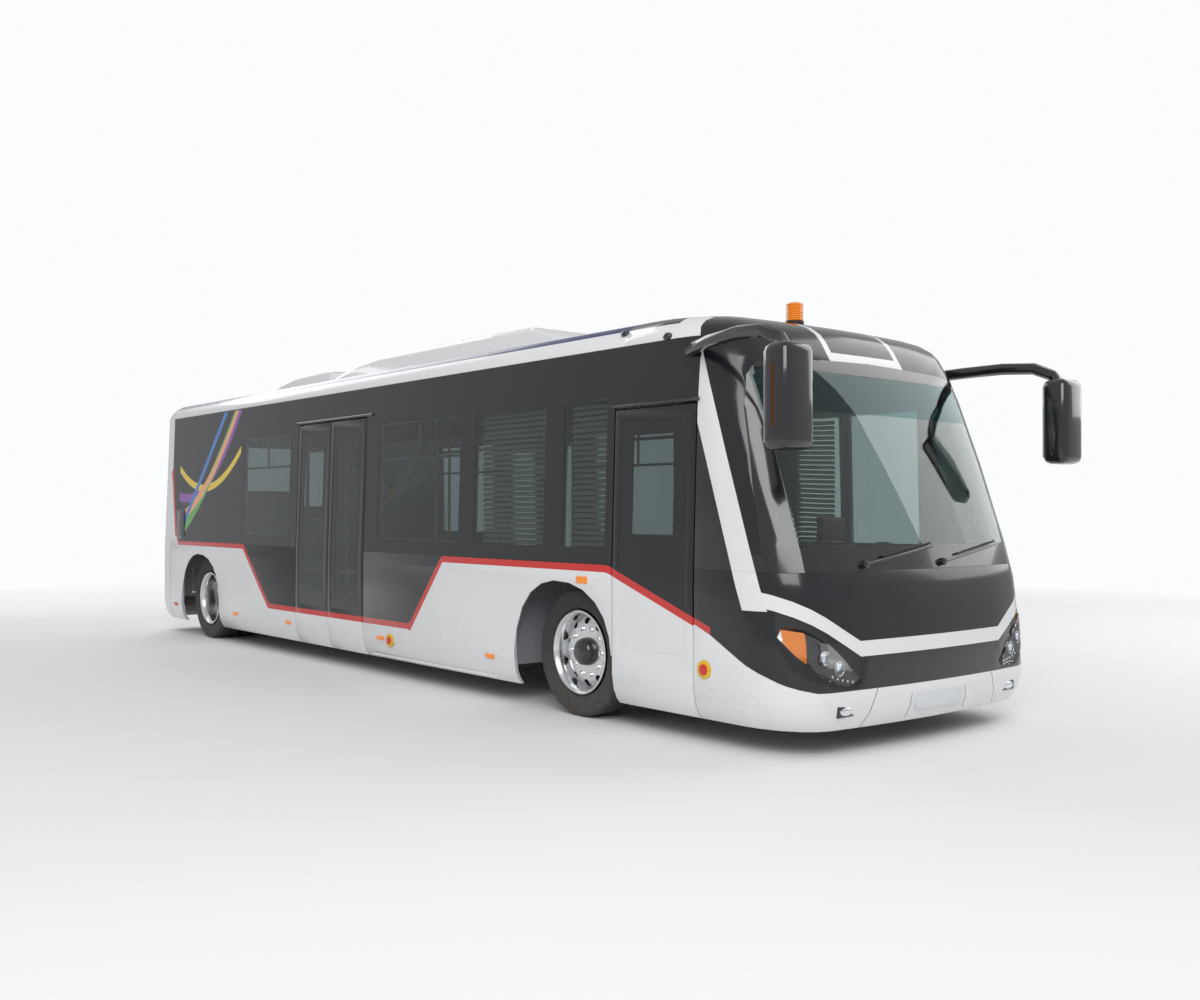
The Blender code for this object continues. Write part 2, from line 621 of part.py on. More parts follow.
# ---------------------------------------------------------------- floor and frame
def floor_and_frame():
    inner = WALL + FIT
    slab_low = FLOOR_TOP - FLOOR
    slab = region(CAB_FRONT, PLATFORM_FRONT, slab_low, FLOOR_TOP, -HALF_WIDTH, HALF_WIDTH)
    platform = region(PLATFORM_FRONT - FLOOR, PLATFORM_END, PLATFORM_TOP - FLOOR, PLATFORM_TOP,
                      -HALF_WIDTH, HALF_WIDTH)
    riser = region(PLATFORM_FRONT - FLOOR, PLATFORM_FRONT, slab_low, PLATFORM_TOP, -HALF_WIDTH, HALF_WIDTH)
    join(slab, platform, riser)
    for side in (-1, 1):
        for station, inner_wall in ((0.0, WELL_INNER_FRONT), (WHEELBASE, WELL_INNER_REAR)):
            span = sorted((side * inner_wall, side * 2.0))
            foot = slab_low if station < PLATFORM_FRONT else PLATFORM_TOP - FLOOR
            join(slab, region(station - WELL_FRONT - SHEET, station + WELL_REAR + SHEET, foot,
                              WELL_TOP + SHEET, *sorted((side * (inner_wall - SHEET), side * HALF_WIDTH))))
            cut(slab, region(station - WELL_FRONT, station + WELL_REAR, -1.0, WELL_TOP, *span))
    keep(slab, hull(inner, open_below=True))
    finish(slab, "cabin_floor", "floor_vinyl")

    top = slab_low - FIT
    upper_top = PLATFORM_TOP - FLOOR - FIT
    post_end = PLATFORM_FRONT + 2 * RAIL_HALF
    frame = box(-HALF_WIDTH, HALF_WIDTH, REAR_MEMBER, REAR_MEMBER + 0.07, 0.30, 0.40)
    keep(frame, hull(inner, open_below=True))
    for side in (-1, 1):
        span = sorted((side * (RAIL_X - RAIL_HALF), side * (RAIL_X + RAIL_HALF)))
        join(frame, box(*span, CAB_FRONT, post_end, RAIL_BOTTOM, top))
        join(frame, box(*span, PLATFORM_FRONT + FIT, post_end, RAIL_BOTTOM, upper_top))
        join(frame, box(*span, PLATFORM_FRONT + FIT, REAR_MEMBER + 0.08, UPPER_RAIL_BOTTOM, upper_top))
        join(frame, box(*span, REAR_MEMBER - 0.01, REAR_MEMBER + 0.08, 0.29, upper_top))
    for station in CROSS_MEMBERS:
        member = box(-HALF_WIDTH, HALF_WIDTH, station, station + 0.07, RAIL_BOTTOM - 0.015, top - 0.001)
        join(frame, keep(member, hull(inner, open_below=True)))
    return frame


def wheels_and_axles(frame):
    """Tyres, rims, knuckles and both axles."""
    for side, word in SIDES:
        centre = side * (TYRE_FACE - TYRE_WIDTH / 2)
        tyre(centre, 0.0, "front_tyre_" + word)
        front_rim(side, centre, "front_rim_" + word)
        knuckle(side, word)
        tyre(centre, WHEELBASE, f"rear_tyre_{word}_outer")
        tyre(centre - side * TWIN_PITCH, WHEELBASE, f"rear_tyre_{word}_inner")
        rear_rim(side, centre, "rear_rim_" + word)
    front_axle()
    rear_axle(frame)


def tyre(centre, station, name):
    half = TYRE_WIDTH / 2
    bead = RIM_SEAT + 0.0003
    tread = TYRE_RADIUS / math.cos(math.pi / WHEEL_SEGMENTS)     # so that a flat of the tread stands on the ground
    profile = ((-half * 0.80, bead), (-half, RIM_FLANGE + 0.085), (-half * 0.97, tread - 0.030),
               (-half * 0.80, tread), (half * 0.80, tread), (half * 0.97, tread - 0.030),
               (half, RIM_FLANGE + 0.085), (half * 0.80, bead))
    item = revolve(profile, (centre, station, TYRE_RADIUS))
    finish(item, name, "tyre_rubber", smooth=True, pivot=(centre, station, TYRE_RADIUS))


FLANGE_AT = TYRE_WIDTH / 2 * 0.80 + 0.0045   # inner face of a rim flange from the tyre's middle
RIM_WALL = 0.012


def barrel_half(sign):
    """(offset, radius) points round one end of a rim barrel, from its seat out over the flange to its inside."""
    return [(sign * FLANGE_AT, RIM_SEAT), (sign * FLANGE_AT, RIM_FLANGE), (sign * (FLANGE_AT + 0.010), RIM_FLANGE),
            (sign * (FLANGE_AT + 0.010), RIM_SEAT - RIM_WALL)]


def front_rim(side, centre, name):
    """Steel-disc pattern rim with its disc near the outer face and a bore for the spindle."""
    outer = barrel_half(1)
    inner = barrel_half(-1)
    disc = [(0.075, RIM_SEAT - RIM_WALL - 0.004), (0.088, 0.215), (0.100, 0.150), (0.100, 0.085), (0.140, 0.078),
            (0.150, 0.060), (0.150, 0.0)]
    back = [(0.118, 0.0), (0.118, HUB_BORE + 0.001), (0.030, HUB_BORE + 0.001), (0.030, 0.120), (0.080, 0.150),
            (0.070, 0.215), (0.055, RIM_SEAT - RIM_WALL - 0.004)]
    points = inner + back[::-1] + disc[::-1] + outer[::-1]
    profile = [(side * a, r) for a, r in points]
    item = revolve(profile, (centre, 0.0, TYRE_RADIUS))
    holes = []
    for k in range(10):
        angle = 2 * math.pi * k / 10
        y = 0.195 * math.cos(angle)
        z = TYRE_RADIUS + 0.195 * math.sin(angle)
        holes.append(revolve(((-0.2, 0.0), (-0.2, 0.024), (0.2, 0.024), (0.2, 0.0)), (centre, y, z), 6))
    cut(item, *holes)
    finish(item, name, "polished_alloy", smooth=True, pivot=(centre, 0.0, TYRE_RADIUS))


def rear_rim(side, centre, name):
    """Two barrels on one deep disc, with the hub cap deep in the dish."""
    outer = barrel_half(1)
    inner = barrel_half(-1)
    shift = [(a - TWIN_PITCH, r) for a, r in inner]
    near = [(a - TWIN_PITCH, r) for a, r in outer]
    mid = -TWIN_PITCH / 2
    inside = RIM_SEAT - RIM_WALL
    points = [shift[0]] + shift[1:]
    points += [(mid - 0.030, inside), (mid - 0.024, 0.170), (mid - 0.024, 0.130), (mid - 0.080, 0.110),
               (mid - 0.080, HUB_BORE + 0.001), (mid + 0.095, HUB_BORE + 0.001), (mid + 0.095, 0.0)]
    points += [(mid + 0.130, 0.0), (mid + 0.130, 0.085), (mid + 0.110, 0.100), (mid + 0.024, 0.120),
               (mid + 0.024, 0.170), (mid + 0.030, inside)]
    points += outer[::-1]
    points += [inner[0], inner[1], (inner[2][0], inner[2][1]), (inner[2][0], RIM_SEAT - 0.004)]
    points += [(near[2][0], RIM_SEAT - 0.004), near[2], near[1], near[0]]
    profile = [(side * a, r) for a, r in points]
    item = revolve(profile, (centre, WHEELBASE, TYRE_RADIUS))
    finish(item, name, "polished_alloy", smooth=True, pivot=(centre, WHEELBASE, TYRE_RADIUS))


EYE_RADIUS = 0.040
EYE_HALF = 0.055
KINGPIN_RADIUS = 0.018


def knuckle(side, word):
    """Fork round the axle's eye with the kingpin through it, brake disc and wheel spindle."""
    x = side * KINGPIN
    z = TYRE_RADIUS
    web = box(x + side * 0.048, x + side * 0.075, -0.055, 0.055, z - 0.095, z + 0.095)
    for end in (-1, 1):
        low = z + end * (EYE_HALF + 0.006)
        join(web, box(x - side * 0.040, x + side * 0.060, -0.040, 0.040, *sorted((low, low + end * 0.034))))
    join(web, post(x, 0.0, z - EYE_HALF - 0.030, z + EYE_HALF + 0.030, KINGPIN_RADIUS, 16))
    spindle_end = TYRE_FACE - TYRE_WIDTH / 2 + 0.117 - KINGPIN
    spindle = ((side * 0.060, 0.0), (side * 0.060, HUB_BORE), (side * spindle_end, HUB_BORE),
               (side * spindle_end, 0.0))
    join(web, revolve(spindle, (x, 0.0, z), 20))
    finish(web, "knuckle_" + word, "cast_iron", pivot=(x, 0.0, z))


def front_axle():
    """Drop beam under the floor with an eye for each kingpin and an air bellows under each wheelhouse roof."""
    beam = box(-0.68, 0.68, -0.05, 0.05, 0.165, 0.235)
    z = TYRE_RADIUS
    for side in (-1, 1):
        arm = [(side * 0.60, 0.165), (side * 0.70, 0.175), (side * 0.93, z - 0.045), (side * 0.99, z - 0.045),
               (side * 0.99, z + 0.045), (side * 0.90, z + 0.045), (side * 0.60, 0.235)]
        join(beam, prism(arm, "Y", -0.035, 0.035))
        eye = post(side * KINGPIN, 0.0, z - EYE_HALF, z + EYE_HALF, EYE_RADIUS, 20)
        join(beam, eye)
        cut(beam, post(side * KINGPIN, 0.0, z - 0.2, z + 0.2, (KINGPIN_RADIUS + PIN_CLEARANCE) / math.cos(math.pi / 16),
                       16))
        bellows = ((0.300, 0.0), (0.300, 0.050), (0.560, 0.055), (0.580, 0.075), (0.760, 0.078), (0.780, 0.070),
                   (0.800, 0.078), (WELL_TOP - FIT, 0.075), (WELL_TOP - FIT, 0.0))
        join(beam, revolve(bellows, (side * 0.712, 0.0, 0.0), 16, "Z"))
    finish(beam, "front_axle", "chassis_steel", pivot=(0.0, 0.0, z))


def rear_axle(frame):
    """Axle tube with its motor-side gear case and two air bellows under the frame."""
    z = TYRE_RADIUS
    mid = TYRE_FACE - TYRE_WIDTH / 2 - TWIN_PITCH / 2
    tip = mid + 0.094
    profile = ((-tip, 0.0), (-tip, HUB_BORE), (-mid + 0.085, HUB_BORE), (-mid + 0.085, 0.075), (-0.26, 0.080),
               (-0.20, 0.150), (-0.10, 0.185), (0.10, 0.185), (0.20, 0.150), (0.26, 0.080), (mid - 0.085, 0.075),
               (mid - 0.085, HUB_BORE), (tip, HUB_BORE), (tip, 0.0))
    tube_item = revolve(profile, (0.0, WHEELBASE, z), 20)
    for side in (-1, 1):
        x = side * (WELL_INNER_REAR - 0.09)
        join(tube_item, box(x - 0.045, x + 0.045, WHEELBASE - 0.06, WHEELBASE + 0.33, z - 0.05, z + 0.04))
        bellows = ((z - 0.02, 0.0), (z - 0.02, 0.060), (z + 0.06, 0.085), (0.66 - FIT, 0.080), (0.66 - FIT, 0.0))
        join(tube_item, revolve(bellows, (x, WHEELBASE + 0.25, 0.0), 16, "Z"))
    finish(tube_item, "rear_axle", "cast_iron", pivot=(0.0, WHEELBASE, z))


# ---------------------------------------------------------------- roof, mirrors, cabin
def roof_pieces(body):
    roof = keep(copy_of(body), region(y_low=MASK_END + SEAM / 2, z_low=CANT + SEAM / 2))
    finish(roof, "roof_shell", "white_paint")
    front, rear, half, top = ROOF_UNIT
    side_view = [(front, ROOF - 0.10), (front + 0.25, ROOF + 0.03), (front + 0.60, top - 0.01),
                 (front + 1.20, top), (rear - 0.9, top), (rear - 0.5, top - 0.03), (rear, ROOF + 0.02),
                 (rear, ROOF - 0.10)]
    unit = prism(side_view, "X", -half, half)
    bevel_along(unit, 0.05)
    cut(unit, hull(-FIT))
    finish(unit, "roof_unit", "white_paint")
    front, rear, half, top = ROOF_POD
    side_view = [(front, ROOF - 0.10), (front, top - 0.02), (front + 0.05, top), (rear - 0.55, top),
                 (rear - 0.2, top - 0.05), (rear, ROOF + 0.01), (rear, ROOF - 0.10)]
    pod = prism(side_view, "X", -half, half)
    bevel_along(pod, 0.04)
    cut(pod, hull(-FIT))
    finish(pod, "roof_pod", "white_paint")
    station, radius, top = BEACON
    lamp = revolve(((ROOF - 0.15, 0.0), (ROOF - 0.15, radius * 0.95), (top - 0.10, radius * 0.95),
                    (top - 0.098, radius), (top - 0.012, radius * 0.97), (top, radius * 0.80), (top, 0.0)),
                   (0.0, station, 0.0), 20, "Z")
    cut(lamp, hull(-FIT))
    finish(lamp, "beacon", "amber_lens", smooth=True)


def bevel_along(item, width):
    """Bevel the long upper edges of a prism."""
    bm = bmesh.new()
    bm.from_mesh(item.data)
    high = max(v.co.z for v in bm.verts)
    reach = max(v.co.x for v in bm.verts)
    edges = [e for e in bm.edges
             if all(abs(abs(v.co.x) - reach) < 0.0001 and v.co.z > ROOF for v in e.verts) and high > ROOF]
    bmesh.ops.bevel(bm, geom=edges, offset=width, segments=2, affect="EDGES", profile=0.5)
    bm.to_mesh(item.data)
    bm.free()


def mirrors():
    for side, word in SIDES:
        x, y, z = MIRROR
        half_x, half_y, half_z = MIRROR_HALF
        head = box(side * x - half_x, side * x + half_x, y - half_y, y + half_y, z - half_z, z + half_z)
        bm = bmesh.new()
        bm.from_mesh(head.data)
        bmesh.ops.bevel(bm, geom=list(bm.edges), offset=0.055, segments=3, affect="EDGES", profile=0.5)
        bm.to_mesh(head.data)
        bm.free()
        arm = tube([(side * a, b, c) for a, b, c in MIRROR_ARM], MIRROR_ARM_RADIUS)
        join(head, arm)
        cut(head, hull(-FIT))
        finish(head, "mirror_" + word, "black_gloss", smooth=True)


def cabin():
    """Dashboard, steering wheel, driver's seat and passenger benches."""
    inner = WALL + 0.004
    section = [(-2.02, FLOOR_TOP + FIT), (-2.02, 0.95), (-1.95, 1.06), (-1.66, 1.08), (-1.56, 1.00),
               (-1.62, 0.80), (-1.70, FLOOR_TOP + FIT)]
    dash = prism(section, "X", -1.3, 1.3)
    keep(dash, hull(LAMP_DEPTH + 0.005, open_below=True))
    cut(dash, region(DOOR_POST - 0.35, 3, -1, 3, -2, -0.4))
    finish(dash, "dashboard", "dash_plastic")

    wheel_at = Vector((0.62, -1.42, 1.10))
    rim = revolve(ring_profile(0.225, 0.014, 6), (0.0, 0.0, 0.0), 16, "Z")
    join(rim, box(-0.219, 0.219, -0.018, 0.018, -0.011, 0.004), post(0.0, 0.0, -0.014, 0.008, 0.06, 12))
    join(rim, post(0.0, 0.0, -0.260, 0.003, 0.022, 8))
    rim.rotation_euler = (math.radians(32), 0.0, 0.0)
    rim.location = wheel_at
    bake(rim)
    cut(rim, prism([(y + 2 * FIT, z + FIT) for y, z in section], "X", -1.3, 1.3))
    finish(rim, "steering_wheel", "dash_plastic", smooth=True)

    seat = seat_solid(0.62, -1.08, FLOOR_TOP, 0.46, 0.78, 1.42, 0.25)
    finish(seat, "driver_seat", "seat_leather")
    for side, word in SIDES:
        bench = bench_solid(side, WELL_REAR + 0.12, MID_DOOR[0] - 0.12)
        keep(bench, hull(inner, open_below=True))
        finish(bench, "bench_" + word, "seat_leather")
    section = [(7.45, PLATFORM_TOP + FIT), (7.45, 1.22), (7.92, 1.20), (8.02, 1.72), (8.10, 1.72),
               (8.10, PLATFORM_TOP + FIT)]
    sofa = prism(section, "X", -1.12, 1.12)
    cut(sofa, region(7.0, WHEELBASE + WELL_REAR + SHEET + 0.005, -1, WELL_TOP + SHEET + 0.005, 0.45, 2),
        region(7.0, WHEELBASE + WELL_REAR + SHEET + 0.005, -1, WELL_TOP + SHEET + 0.005, -2, -0.45))
    keep(sofa, hull(inner, open_below=True))
    finish(sofa, "rear_sofa", "seat_leather")


def ring_profile(radius, thick, steps):
    return [(thick * math.sin(2 * math.pi * k / steps), radius + thick * math.cos(2 * math.pi * k / steps))
            for k in range(steps)]


def bake(item):
    """Put an object's place into its mesh."""
    bpy.context.view_layer.update()
    item.data.transform(item.matrix_world)
    item.location = (0.0, 0.0, 0.0)
    item.rotation_euler = (0.0, 0.0, 0.0)


def seat_solid(x, y, floor, width, seat_top, back_top, half):
    """Seat on a pedestal, facing the front."""
    section = [(y - 0.25, floor + FIT), (y - 0.25, floor + 0.05), (y - 0.14, floor + 0.07), (y - 0.14, seat_top - 0.14),
               (y - 0.26, seat_top - 0.12), (y - 0.26, seat_top), (y + 0.16, seat_top - 0.03),
               (y + 0.30, back_top), (y + 0.40, back_top), (y + 0.28, seat_top - 0.13), (y + 0.14, seat_top - 0.14),
               (y + 0.14, floor + 0.07), (y + 0.22, floor + 0.05), (y + 0.22, floor + FIT)]
    return prism(section, "X", x - width / 2, x + width / 2)


def bench_solid(side, front, rear):
    """Bench along the wall, facing the aisle."""
    section = [(side * 1.10, FLOOR_TOP + FIT), (side * 0.78, FLOOR_TOP + FIT), (side * 0.76, 0.68),
               (side * 0.68, 0.70), (side * 0.68, 0.79), (side * 1.08, 0.77), (side * 1.12, 1.17),
               (side * 1.22, 1.17), (side * 1.22, 0.60)]
    return prism(section, "Y", front, rear)


def motor_and_battery():
    """The heavy masses that the panels hide, each one plain block."""
    motor = box(-0.28, 0.28, 7.30, 7.78, 0.30, PLATFORM_TOP - FLOOR - FIT)
    finish(motor, "drive_motor", "cast_iron")
    battery = box(-0.35, 0.35, 5.95, 6.45, 0.26, PLATFORM_TOP - FLOOR - FIT)
    finish(battery, "battery_pack", "battery_case")


# ---------------------------------------------------------------- build
SIDES = ((-1, "right"), (1, "left"))


def build():
    body = shell(0.0, WALL)
    pane = shell(0.0, GLASS)
    for side, word in SIDES:
        side_panels(side, word, copy_of(body), copy_of(pane))
    front_panels(body)
    rear_panels(body)
    roof_pieces(body)
    bpy.data.objects.remove(body)
    bpy.data.objects.remove(pane)
    for row in door_rows():
        door(*row)
    frame = floor_and_frame()
    finish(frame, "chassis_frame", "chassis_steel")
    wheels_and_axles(frame)
    mirrors()
    cabin()
    motor_and_battery()
    FRAME.location = (0.0, -MIDDLE, 0.0)


for item in list(bpy.data.objects):
    bpy.data.objects.remove(item, do_unlink=True)
FRAME = bpy.data.objects.new("frame", None)
bpy.context.scene.collection.objects.link(FRAME)
build()
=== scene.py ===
"""Looks of an airport apron bus: panels, glass, livery, wheels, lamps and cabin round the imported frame."""
import json
import logging
import math
from dataclasses import dataclass
from enum import Enum

import bpy
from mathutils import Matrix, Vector


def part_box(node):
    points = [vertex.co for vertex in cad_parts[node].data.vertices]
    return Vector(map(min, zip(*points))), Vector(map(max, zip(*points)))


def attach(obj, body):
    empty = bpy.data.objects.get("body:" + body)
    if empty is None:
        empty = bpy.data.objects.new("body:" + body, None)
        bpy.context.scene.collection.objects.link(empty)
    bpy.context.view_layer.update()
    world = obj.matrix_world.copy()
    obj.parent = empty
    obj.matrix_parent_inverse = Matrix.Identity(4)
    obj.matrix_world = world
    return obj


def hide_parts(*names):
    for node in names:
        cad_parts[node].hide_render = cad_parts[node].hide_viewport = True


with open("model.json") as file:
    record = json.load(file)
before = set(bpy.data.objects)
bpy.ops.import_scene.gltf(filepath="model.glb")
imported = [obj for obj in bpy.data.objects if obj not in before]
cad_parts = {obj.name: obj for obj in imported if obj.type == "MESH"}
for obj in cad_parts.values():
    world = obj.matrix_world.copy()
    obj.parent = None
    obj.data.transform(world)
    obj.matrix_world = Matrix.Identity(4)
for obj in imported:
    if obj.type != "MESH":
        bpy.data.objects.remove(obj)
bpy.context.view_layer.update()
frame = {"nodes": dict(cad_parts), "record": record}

LOG = logging.getLogger("apron_bus")
Point = tuple[float, float, float]

ROOT = "bus_body"
SIDES = ((-1, "right"), (1, "left"))


def middle_of(node: str) -> Vector:
    """Centre of a node's box at rest."""
    low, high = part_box(node)
    return (Vector(low) + Vector(high)) / 2


AXLE_Y = middle_of("front_rim_left").y
HALF_WIDTH = Vector(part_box("front_bumper")[1]).x
CANT_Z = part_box("side_glass_left")[1][2]
WINDOWS = ((-0.37, 0.11), (0.33, 1.25), (1.47, 2.78), (4.60, 5.72))     # stations of the clear windows
BLINDS = WINDOWS[:2]            # windows with blinds let down
SLIDERS = WINDOWS[2:]           # windows with sliding panes at the top
DRIVER_WINDOW = (-1.13, -0.47)
SILL, HEAD = 1.200, 2.220


def at(station: float) -> float:
    """Y of a station, which counts metres rearwards from the front axle."""
    return AXLE_Y + station


# ---------------------------------------------------------------- materials
class Graph:
    """A short way to write a node tree."""

    def __init__(self, tree: bpy.types.NodeTree) -> None:
        """Keep the tree that the nodes go into."""
        self.tree = tree

    def node(self, kind: str, *values: object, **settings: object) -> bpy.types.Node:
        """Add a node.

        Args:
            kind: the node's type without the ShaderNode prefix.
            values: what goes into the inputs in order, None to leave one alone.
            settings: properties of the node.

        Returns:
            The node.
        """
        made = self.tree.nodes.new("ShaderNode" + kind)
        for key, value in settings.items():
            setattr(made, key, value)
        for socket, value in zip(made.inputs, values):
            self.feed(socket, value)
        return made

    def feed(self, socket: bpy.types.NodeSocket, value: object) -> None:
        """Link a socket to an input, or set its constant."""
        if isinstance(value, bpy.types.NodeSocket):
            self.tree.links.new(value, socket)
        elif value is not None:
            socket.default_value = value

    def maths(self, operation: str, *values: object, clamp: bool = False) -> bpy.types.NodeSocket:
        """Output of a Math node."""
        return self.node("Math", *values, operation=operation, use_clamp=clamp).outputs[0]

    def between(self, value: object, low: float, high: float) -> bpy.types.NodeSocket:
        """Mask of one where the value lies between two limits."""
        above = self.maths("GREATER_THAN", value, low)
        return self.maths("MULTIPLY", above, self.maths("LESS_THAN", value, high))

    def over(self, mask: object, below: object, above: object) -> bpy.types.NodeSocket:
        """Colour `above` laid over colour `below` by a mask."""
        mix = self.node("Mix", data_type="RGBA")
        self.feed(mix.inputs[0], mask)
        self.feed(mix.inputs[6], below)
        self.feed(mix.inputs[7], above)
        return mix.outputs[2]

    def place(self) -> tuple[bpy.types.NodeSocket, ...]:
        """Object coordinates: the vector, x, y and z."""
        vector = self.node("TexCoord").outputs["Object"]
        split = self.node("SeparateXYZ", vector)
        return (vector, *split.outputs)


def group(name: str, inputs: dict[str, float], outputs: dict[str, str]) -> tuple[Graph, dict, dict]:
    """Start a shader node group.

    Args:
        name: the group's name.
        inputs: names and defaults of its number inputs.
        outputs: names and socket types of its outputs.

    Returns:
        The graph, its input sockets by name and the sockets that its outputs are fed through.
    """
    tree = bpy.data.node_groups.new(name, "ShaderNodeTree")
    for key, value in inputs.items():
        tree.interface.new_socket(key, in_out="INPUT", socket_type="NodeSocketFloat").default_value = value
    for key, kind in outputs.items():
        tree.interface.new_socket(key, in_out="OUTPUT", socket_type=kind)
    start = tree.nodes.new("NodeGroupInput")
    end = tree.nodes.new("NodeGroupOutput")
    return (Graph(tree), {s.name: s for s in start.outputs if s.name}, {s.name: s for s in end.inputs if s.name})


def weathering_group() -> bpy.types.NodeTree:
    """Mottle, road dust towards the ground and fine orange peel.

    Returns:
        The node group.
    """
    graph, given, result = group("weathering", {"Scale": 6.0, "Dust": 0.2},
                                 {"Mottle": "NodeSocketFloat", "Dust": "NodeSocketFloat",
                                  "Height": "NodeSocketFloat"})
    vector, _, _, z = graph.place()
    cloud = graph.node("TexNoise", vector, noise_dimensions="3D")
    graph.feed(cloud.inputs["Scale"], given["Scale"])
    cloud.inputs["Detail"].default_value = 5.0
    fine = graph.node("TexNoise", vector)
    fine.inputs["Scale"].default_value = 260.0
    low = graph.node("MapRange", z, 0.15, 1.10, 1.0, 0.0).outputs[0]
    dust = graph.maths("MULTIPLY", graph.maths("POWER", low, 2.0), cloud.outputs[0])
    graph.feed(result["Mottle"], cloud.outputs[0])
    graph.feed(result["Dust"], graph.maths("MULTIPLY", dust, given["Dust"], clamp=True))
    graph.feed(result["Height"], fine.outputs[0])
    return graph.tree


WEATHERING = weathering_group()
DUST_COLOUR = (0.30, 0.27, 0.23, 1.0)


class Artwork(Enum):
    """What is painted on a finish."""

    PLAIN = "plain"
    SIDE = "side"
    FRONT = "front"
    MASK = "mask"
    TAIL = "tail"
    ROOF = "roof"
    BUMPER = "bumper"


class Livery:
    """Painted bands of the bus, worked out from object coordinates."""

    WHITE = (0.80, 0.81, 0.82, 1.0)
    BLACK = (0.010, 0.011, 0.014, 1.0)
    RED = (0.62, 0.035, 0.030, 1.0)
    NAVY = (0.015, 0.030, 0.120, 1.0)
    STRIPE = (                  # (station, height) of the red stripe's centre
        (-2.40, 0.36), (-1.37, 0.72), (-0.40, 1.06), (1.70, 1.06), (2.20, 0.475), (5.05, 0.475),
        (5.70, 1.07), (7.60, 1.07), (7.72, 1.25), (7.86, 1.90), (8.40, 1.95))
    STRIPE_HALF = 0.025
    RIBBON_END = 7.62           # station where the ribbons start, at the rear of the glass
    RIBBONS = (                 # (colour, height at the rear end, slope, bend, half width)
        ((0.27, 0.08, 0.42, 1.0), 1.62, -0.20, 0.42, 0.050),
        ((0.85, 0.62, 0.05, 1.0), 1.95, -0.62, 0.40, 0.040),
        ((0.12, 0.42, 0.10, 1.0), 1.16, 0.52, 0.20, 0.075),
        ((0.88, 0.42, 0.20, 1.0), 1.36, 0.22, 0.30, 0.055),
        ((0.04, 0.22, 0.62, 1.0), 1.14, 1.02, 0.02, 0.050))

    def __init__(self, graph: Graph) -> None:
        """Read the place and set up the shared values."""
        self.graph = graph
        _, self.x, y, self.z = graph.place()
        self.station = graph.maths("SUBTRACT", y, AXLE_Y)
        self.across = graph.maths("ABSOLUTE", self.x)

    def curve(self, rows: tuple[tuple[float, float], ...]) -> bpy.types.NodeSocket:
        """Value of a (station, value) table by straight lines.

        Args:
            rows: the table, with values from zero to three.

        Returns:
            The value at the station.
        """
        first, last = rows[0][0], rows[-1][0]
        share = self.graph.node("MapRange", self.station, first, last, 0.0, 1.0).outputs[0]
        node = self.graph.node("FloatCurve", 1.0, share)
        line = node.mapping.curves[0]
        while len(line.points) < len(rows):
            line.points.new(0.5, 0.5)
        for point, (station, value) in zip(line.points, rows):
            point.location = ((station - first) / (last - first), value / 3.0)
            point.handle_type = "VECTOR"
        node.mapping.update()
        return self.graph.maths("MULTIPLY", node.outputs[0], 3.0)

    def side(self) -> bpy.types.NodeSocket:
        """Side of the bus: white, black band, red stripe and ribbons."""
        graph = self.graph
        height = self.curve(self.STRIPE)
        steep = tuple((row[0] + step, math.hypot(1.0, (after[1] - row[1]) / (after[0] - row[0])) * self.STRIPE_HALF)
                      for row, after in zip(self.STRIPE, self.STRIPE[1:])
                      for step in (0.001, after[0] - row[0] - 0.001))
        half = self.curve(steep)
        rise = graph.maths("SUBTRACT", self.z, height)
        band = graph.maths("MULTIPLY", graph.maths("GREATER_THAN", rise, 0.0),
                           graph.maths("LESS_THAN", self.z, CANT_Z))
        behind = graph.between(self.station, -2.4, 7.86)
        colour = graph.over(graph.maths("MULTIPLY", band, behind), self.WHITE, self.BLACK)
        run = graph.maths("SUBTRACT", self.RIBBON_END, self.station)
        field = graph.maths("MULTIPLY", graph.between(run, 0.0, 1.78), graph.between(self.z, 1.115, CANT_Z - 0.012))
        for paint, level, slope, bend, thick in self.RIBBONS:
            climb = graph.maths("MULTIPLY", graph.maths("MULTIPLY_ADD", run, bend, slope), run)
            gap = graph.maths("ABSOLUTE", graph.maths("SUBTRACT", self.z, graph.maths("ADD", climb, level)))
            mask = graph.maths("MULTIPLY", graph.maths("LESS_THAN", gap, thick), field)
            colour = graph.over(mask, colour, paint)
        stripe = graph.maths("LESS_THAN", graph.maths("ABSOLUTE", rise), half)
        colour = graph.over(stripe, colour, self.RED)
        return colour

    def front(self) -> bpy.types.NodeSocket:
        """Front panel: black, with the white line that rises to the pillar bands and the end of the red stripe."""
        graph = self.graph
        climb = graph.maths("MAXIMUM", graph.maths("SUBTRACT", self.across, 0.73), 0.0)
        centre = graph.maths("MULTIPLY_ADD", climb, 0.569, 0.6325)
        line = graph.maths("LESS_THAN", graph.maths("ABSOLUTE", graph.maths("SUBTRACT", self.z, centre)), 0.046)
        ahead = graph.maths("LESS_THAN", graph.maths("SUBTRACT", self.station, self.pillar_line()), 0.085)
        band = graph.maths("MULTIPLY", self.pillar_band(), graph.maths("GREATER_THAN", self.z, 0.86))
        white = graph.maths("MAXIMUM", graph.maths("MULTIPLY", line, ahead), band)
        colour = graph.over(white, self.BLACK, self.WHITE)
        red = graph.maths("ABSOLUTE", graph.maths("SUBTRACT", self.z, self.curve(self.STRIPE)))
        red = graph.maths("MULTIPLY", graph.maths("LESS_THAN", red, 0.028),
                          graph.maths("GREATER_THAN", self.station, -1.40))
        return graph.over(red, colour, self.RED)

    def pillar_line(self) -> bpy.types.NodeSocket:
        """Station of the middle of the white pillar band at a height."""
        return self.graph.maths("MULTIPLY_ADD", self.graph.maths("SUBTRACT", 2.4, self.z), -0.357, -1.20)

